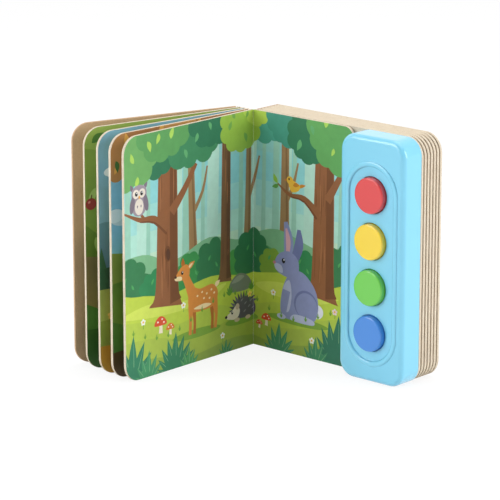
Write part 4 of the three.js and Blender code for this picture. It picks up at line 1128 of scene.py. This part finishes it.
# ABS from a polished mould, under a clear gloss: soft highlights along every rounded edge.
sky_blue_plastic = moulded_plastic("sky_blue_abs", "#82D0EC", "#7CCBE8", 0.24, 0.5)
shell = finish_mesh("module_front", front_shell_mesh(), sky_blue_plastic, None, 50)
fit(shell, "module_front_shell", "block")


# Buttons: four flat caps, each one moulding with its flange and stem, in through-coloured glossy
# plastic. Each is held behind its hole by the flange and is pressed back against a rubber dome.
CAP_FRONT, CAP_RADIUS, CAP_EDGE, CAP_CROWN = -19.7, 13.1, 1.3, 0.12
FLANGE_FRONT, FLANGE_BACK, FLANGE_RADIUS = -13.5, -12.3, 14.8
STEM_RADIUS, STEM_END = 3.2, -9.7
button_finishes = (("blue", "#4089DC", "#3A82D6"), ("green", "#6FCB50", "#66C447"),
                   ("yellow", "#F3D33C", "#EECB2F"), ("red", "#DC4445", "#D63A3C"))
for height, (name, colour, shade) in zip(button_heights, button_finishes):
    flat = CAP_RADIUS - CAP_EDGE
    edge_front = CAP_FRONT + CAP_CROWN
    profile = [(flat * t, CAP_FRONT + CAP_CROWN * t * t) for t in (0, 0.3, 0.55, 0.75, 0.9, 0.98)]
    profile += [(flat + CAP_EDGE * math.sin(a), edge_front + CAP_EDGE * (1 - math.cos(a)))
                for a in arc_steps(9)]
    profile += [(CAP_RADIUS, edge_front + CAP_EDGE + SUPPORT), (CAP_RADIUS, FLANGE_FRONT),
                (FLANGE_RADIUS, FLANGE_FRONT), (FLANGE_RADIUS, FLANGE_BACK), (STEM_RADIUS, FLANGE_BACK),
                (STEM_RADIUS, STEM_END), (0, STEM_END)]
    cap_mesh = bmesh.new()
    turned_into(cap_mesh, profile, MODULE_MIDDLE, height, 96)
    cap = finish_mesh(f"{name}_cap", cap_mesh, moulded_plastic(f"{name}_abs", colour, shade, 0.2, 0.5),
                      None, 50)
    fit(cap, f"{name}_button", f"{name}_button")


# Inside the module: the rear tray, keypad, circuit board, speaker, cells and screws keep their
# modelled shapes; each gets the finish of what it is made of.
def two_tone(name, dark, light, scale, roughness, stretch=(1, 1, 1), metallic=0.0, strength=0.1):
    """A fine mottle between two tones, with matching bump; the scale is marks per millimetre."""
    material, tree = new_material(name)
    grain = node(tree, "ShaderNodeTexNoise", {"Vector": object_millimetres(tree, stretch), "Scale": scale,
                                              "Detail": 4.0, "Roughness": 0.6})
    tone = node(tree, "ShaderNodeMix", {0: grain.outputs["Fac"], 6: linear(dark), 7: linear(light)},
                data_type="RGBA")
    skin = surfaced(tree, tone.outputs[2], roughness, grain.outputs["Fac"], strength)
    skin.inputs["Metallic"].default_value = metallic
    return material


# White ABS from a plain mould: an even off-white with a low, soft gloss.
white_abs = moulded_plastic("white_abs", "#D9DCDC", "#D1D5D5", 0.42)
# Moulded silicone rubber: grey and matt, with no sharp highlight.
silicone = two_tone("keypad_silicone", "#8F9294", "#A3A6A8", 1.5, 0.75)
# Glass-fibre laminate under solder mask: green, faintly woven, with a low gloss.
laminate = two_tone("green_laminate", "#256B3F", "#348553", 0.8, 0.4, (6, 1, 0.6))
# Black epoxy over the chip: dark, smooth and a little shiny.
epoxy = two_tone("black_epoxy", "#121214", "#222226", 0.6, 0.3)
# Nickel-plated steel, pressed or drawn: bright grey, with fine lines along the work.
plated_steel = two_tone("plated_steel", "#A9ACB0", "#C9CCD0", 3.0, 0.32, (1, 4, 1), 1.0)
# Fired ferrite: dull dark grey, a little grainy.
ferrite = two_tone("ferrite", "#3A3B3E", "#505156", 2.0, 0.6)
# Paper pulp pressed into a cone: black, matt and fibrous.
cone_paper = two_tone("cone_paper", "#202022", "#38383B", 1.2, 0.9, (1, 1, 0.5), 0.0, 0.4)
# PVC drawn over copper strands: an even red and an even black, softly glossy.
red_pvc = two_tone("red_pvc", "#B32C27", "#CB3D34", 2.0, 0.45)
black_pvc = two_tone("black_pvc", "#1B1B1D", "#2A2A2D", 2.0, 0.45)
inner_finishes = {
    "module_rear_shell": white_abs, "battery_door": white_abs, "keypad_mat": silicone,
    "circuit_board": laminate, "sound_chip": epoxy, "speaker_basket": plated_steel,
    "speaker_magnet": ferrite, "speaker_cone": cone_paper, "contact_plate": plated_steel,
    "contact_spring": plated_steel, "door_screw": plated_steel, "speaker_wire_red": red_pvc,
    "speaker_wire_black": black_pvc, "battery_wire_red": red_pvc, "battery_wire_black": black_pvc}
inner_finishes.update({f"{kind}_screw_{i}": plated_steel for kind in ("board", "shell") for i in range(1, 5)})
inner_finishes.update({f"button_cell_{i}": plated_steel for i in range(1, 4)})
for name, finish in inner_finishes.items():
    solid = bpy.data.objects[name]
    solid.data.materials.clear()
    solid.data.materials.append(finish)


# Keypad domes: four soft cones of grey silicone rubber, moulded with the mat that lies behind them.
# Each pushes its cap forward.
DOME_TOP_RADIUS, DOME_RADIUS, DOME_WALL, DOME_HEIGHT = 3.6, 6.2, 0.8, 2.5
STEM_CLEARANCE = 0.3
DOME_TOP = STEM_END + STEM_CLEARANCE
DOME_BASE = DOME_TOP + DOME_HEIGHT
DOME_EDGE = 0.4
for height, name in zip(button_heights, ("blue", "green", "yellow", "red")):
    shoulder = DOME_TOP_RADIUS - DOME_EDGE
    profile = [(0, DOME_TOP)]
    profile += [(shoulder + DOME_EDGE * math.sin(a), DOME_TOP + DOME_EDGE * (1 - math.cos(a)))
                for a in arc_steps(5)]
    profile += [(DOME_RADIUS - DOME_WALL, DOME_BASE - DOME_WALL / 2),
                (DOME_RADIUS, DOME_BASE - DOME_WALL / 2), (DOME_RADIUS, DOME_BASE),
                (DOME_RADIUS - 2 * DOME_WALL, DOME_BASE),
                (DOME_TOP_RADIUS - DOME_WALL, DOME_TOP + DOME_WALL), (0, DOME_TOP + DOME_WALL)]
    dome_mesh = bmesh.new()
    turned_into(dome_mesh, profile, MODULE_MIDDLE, height, 64)
    dome = finish_mesh(f"{name}_rubber_dome", dome_mesh, silicone, None, 50)
    fit(dome, f"{name}_dome", "block")
    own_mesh(dome)
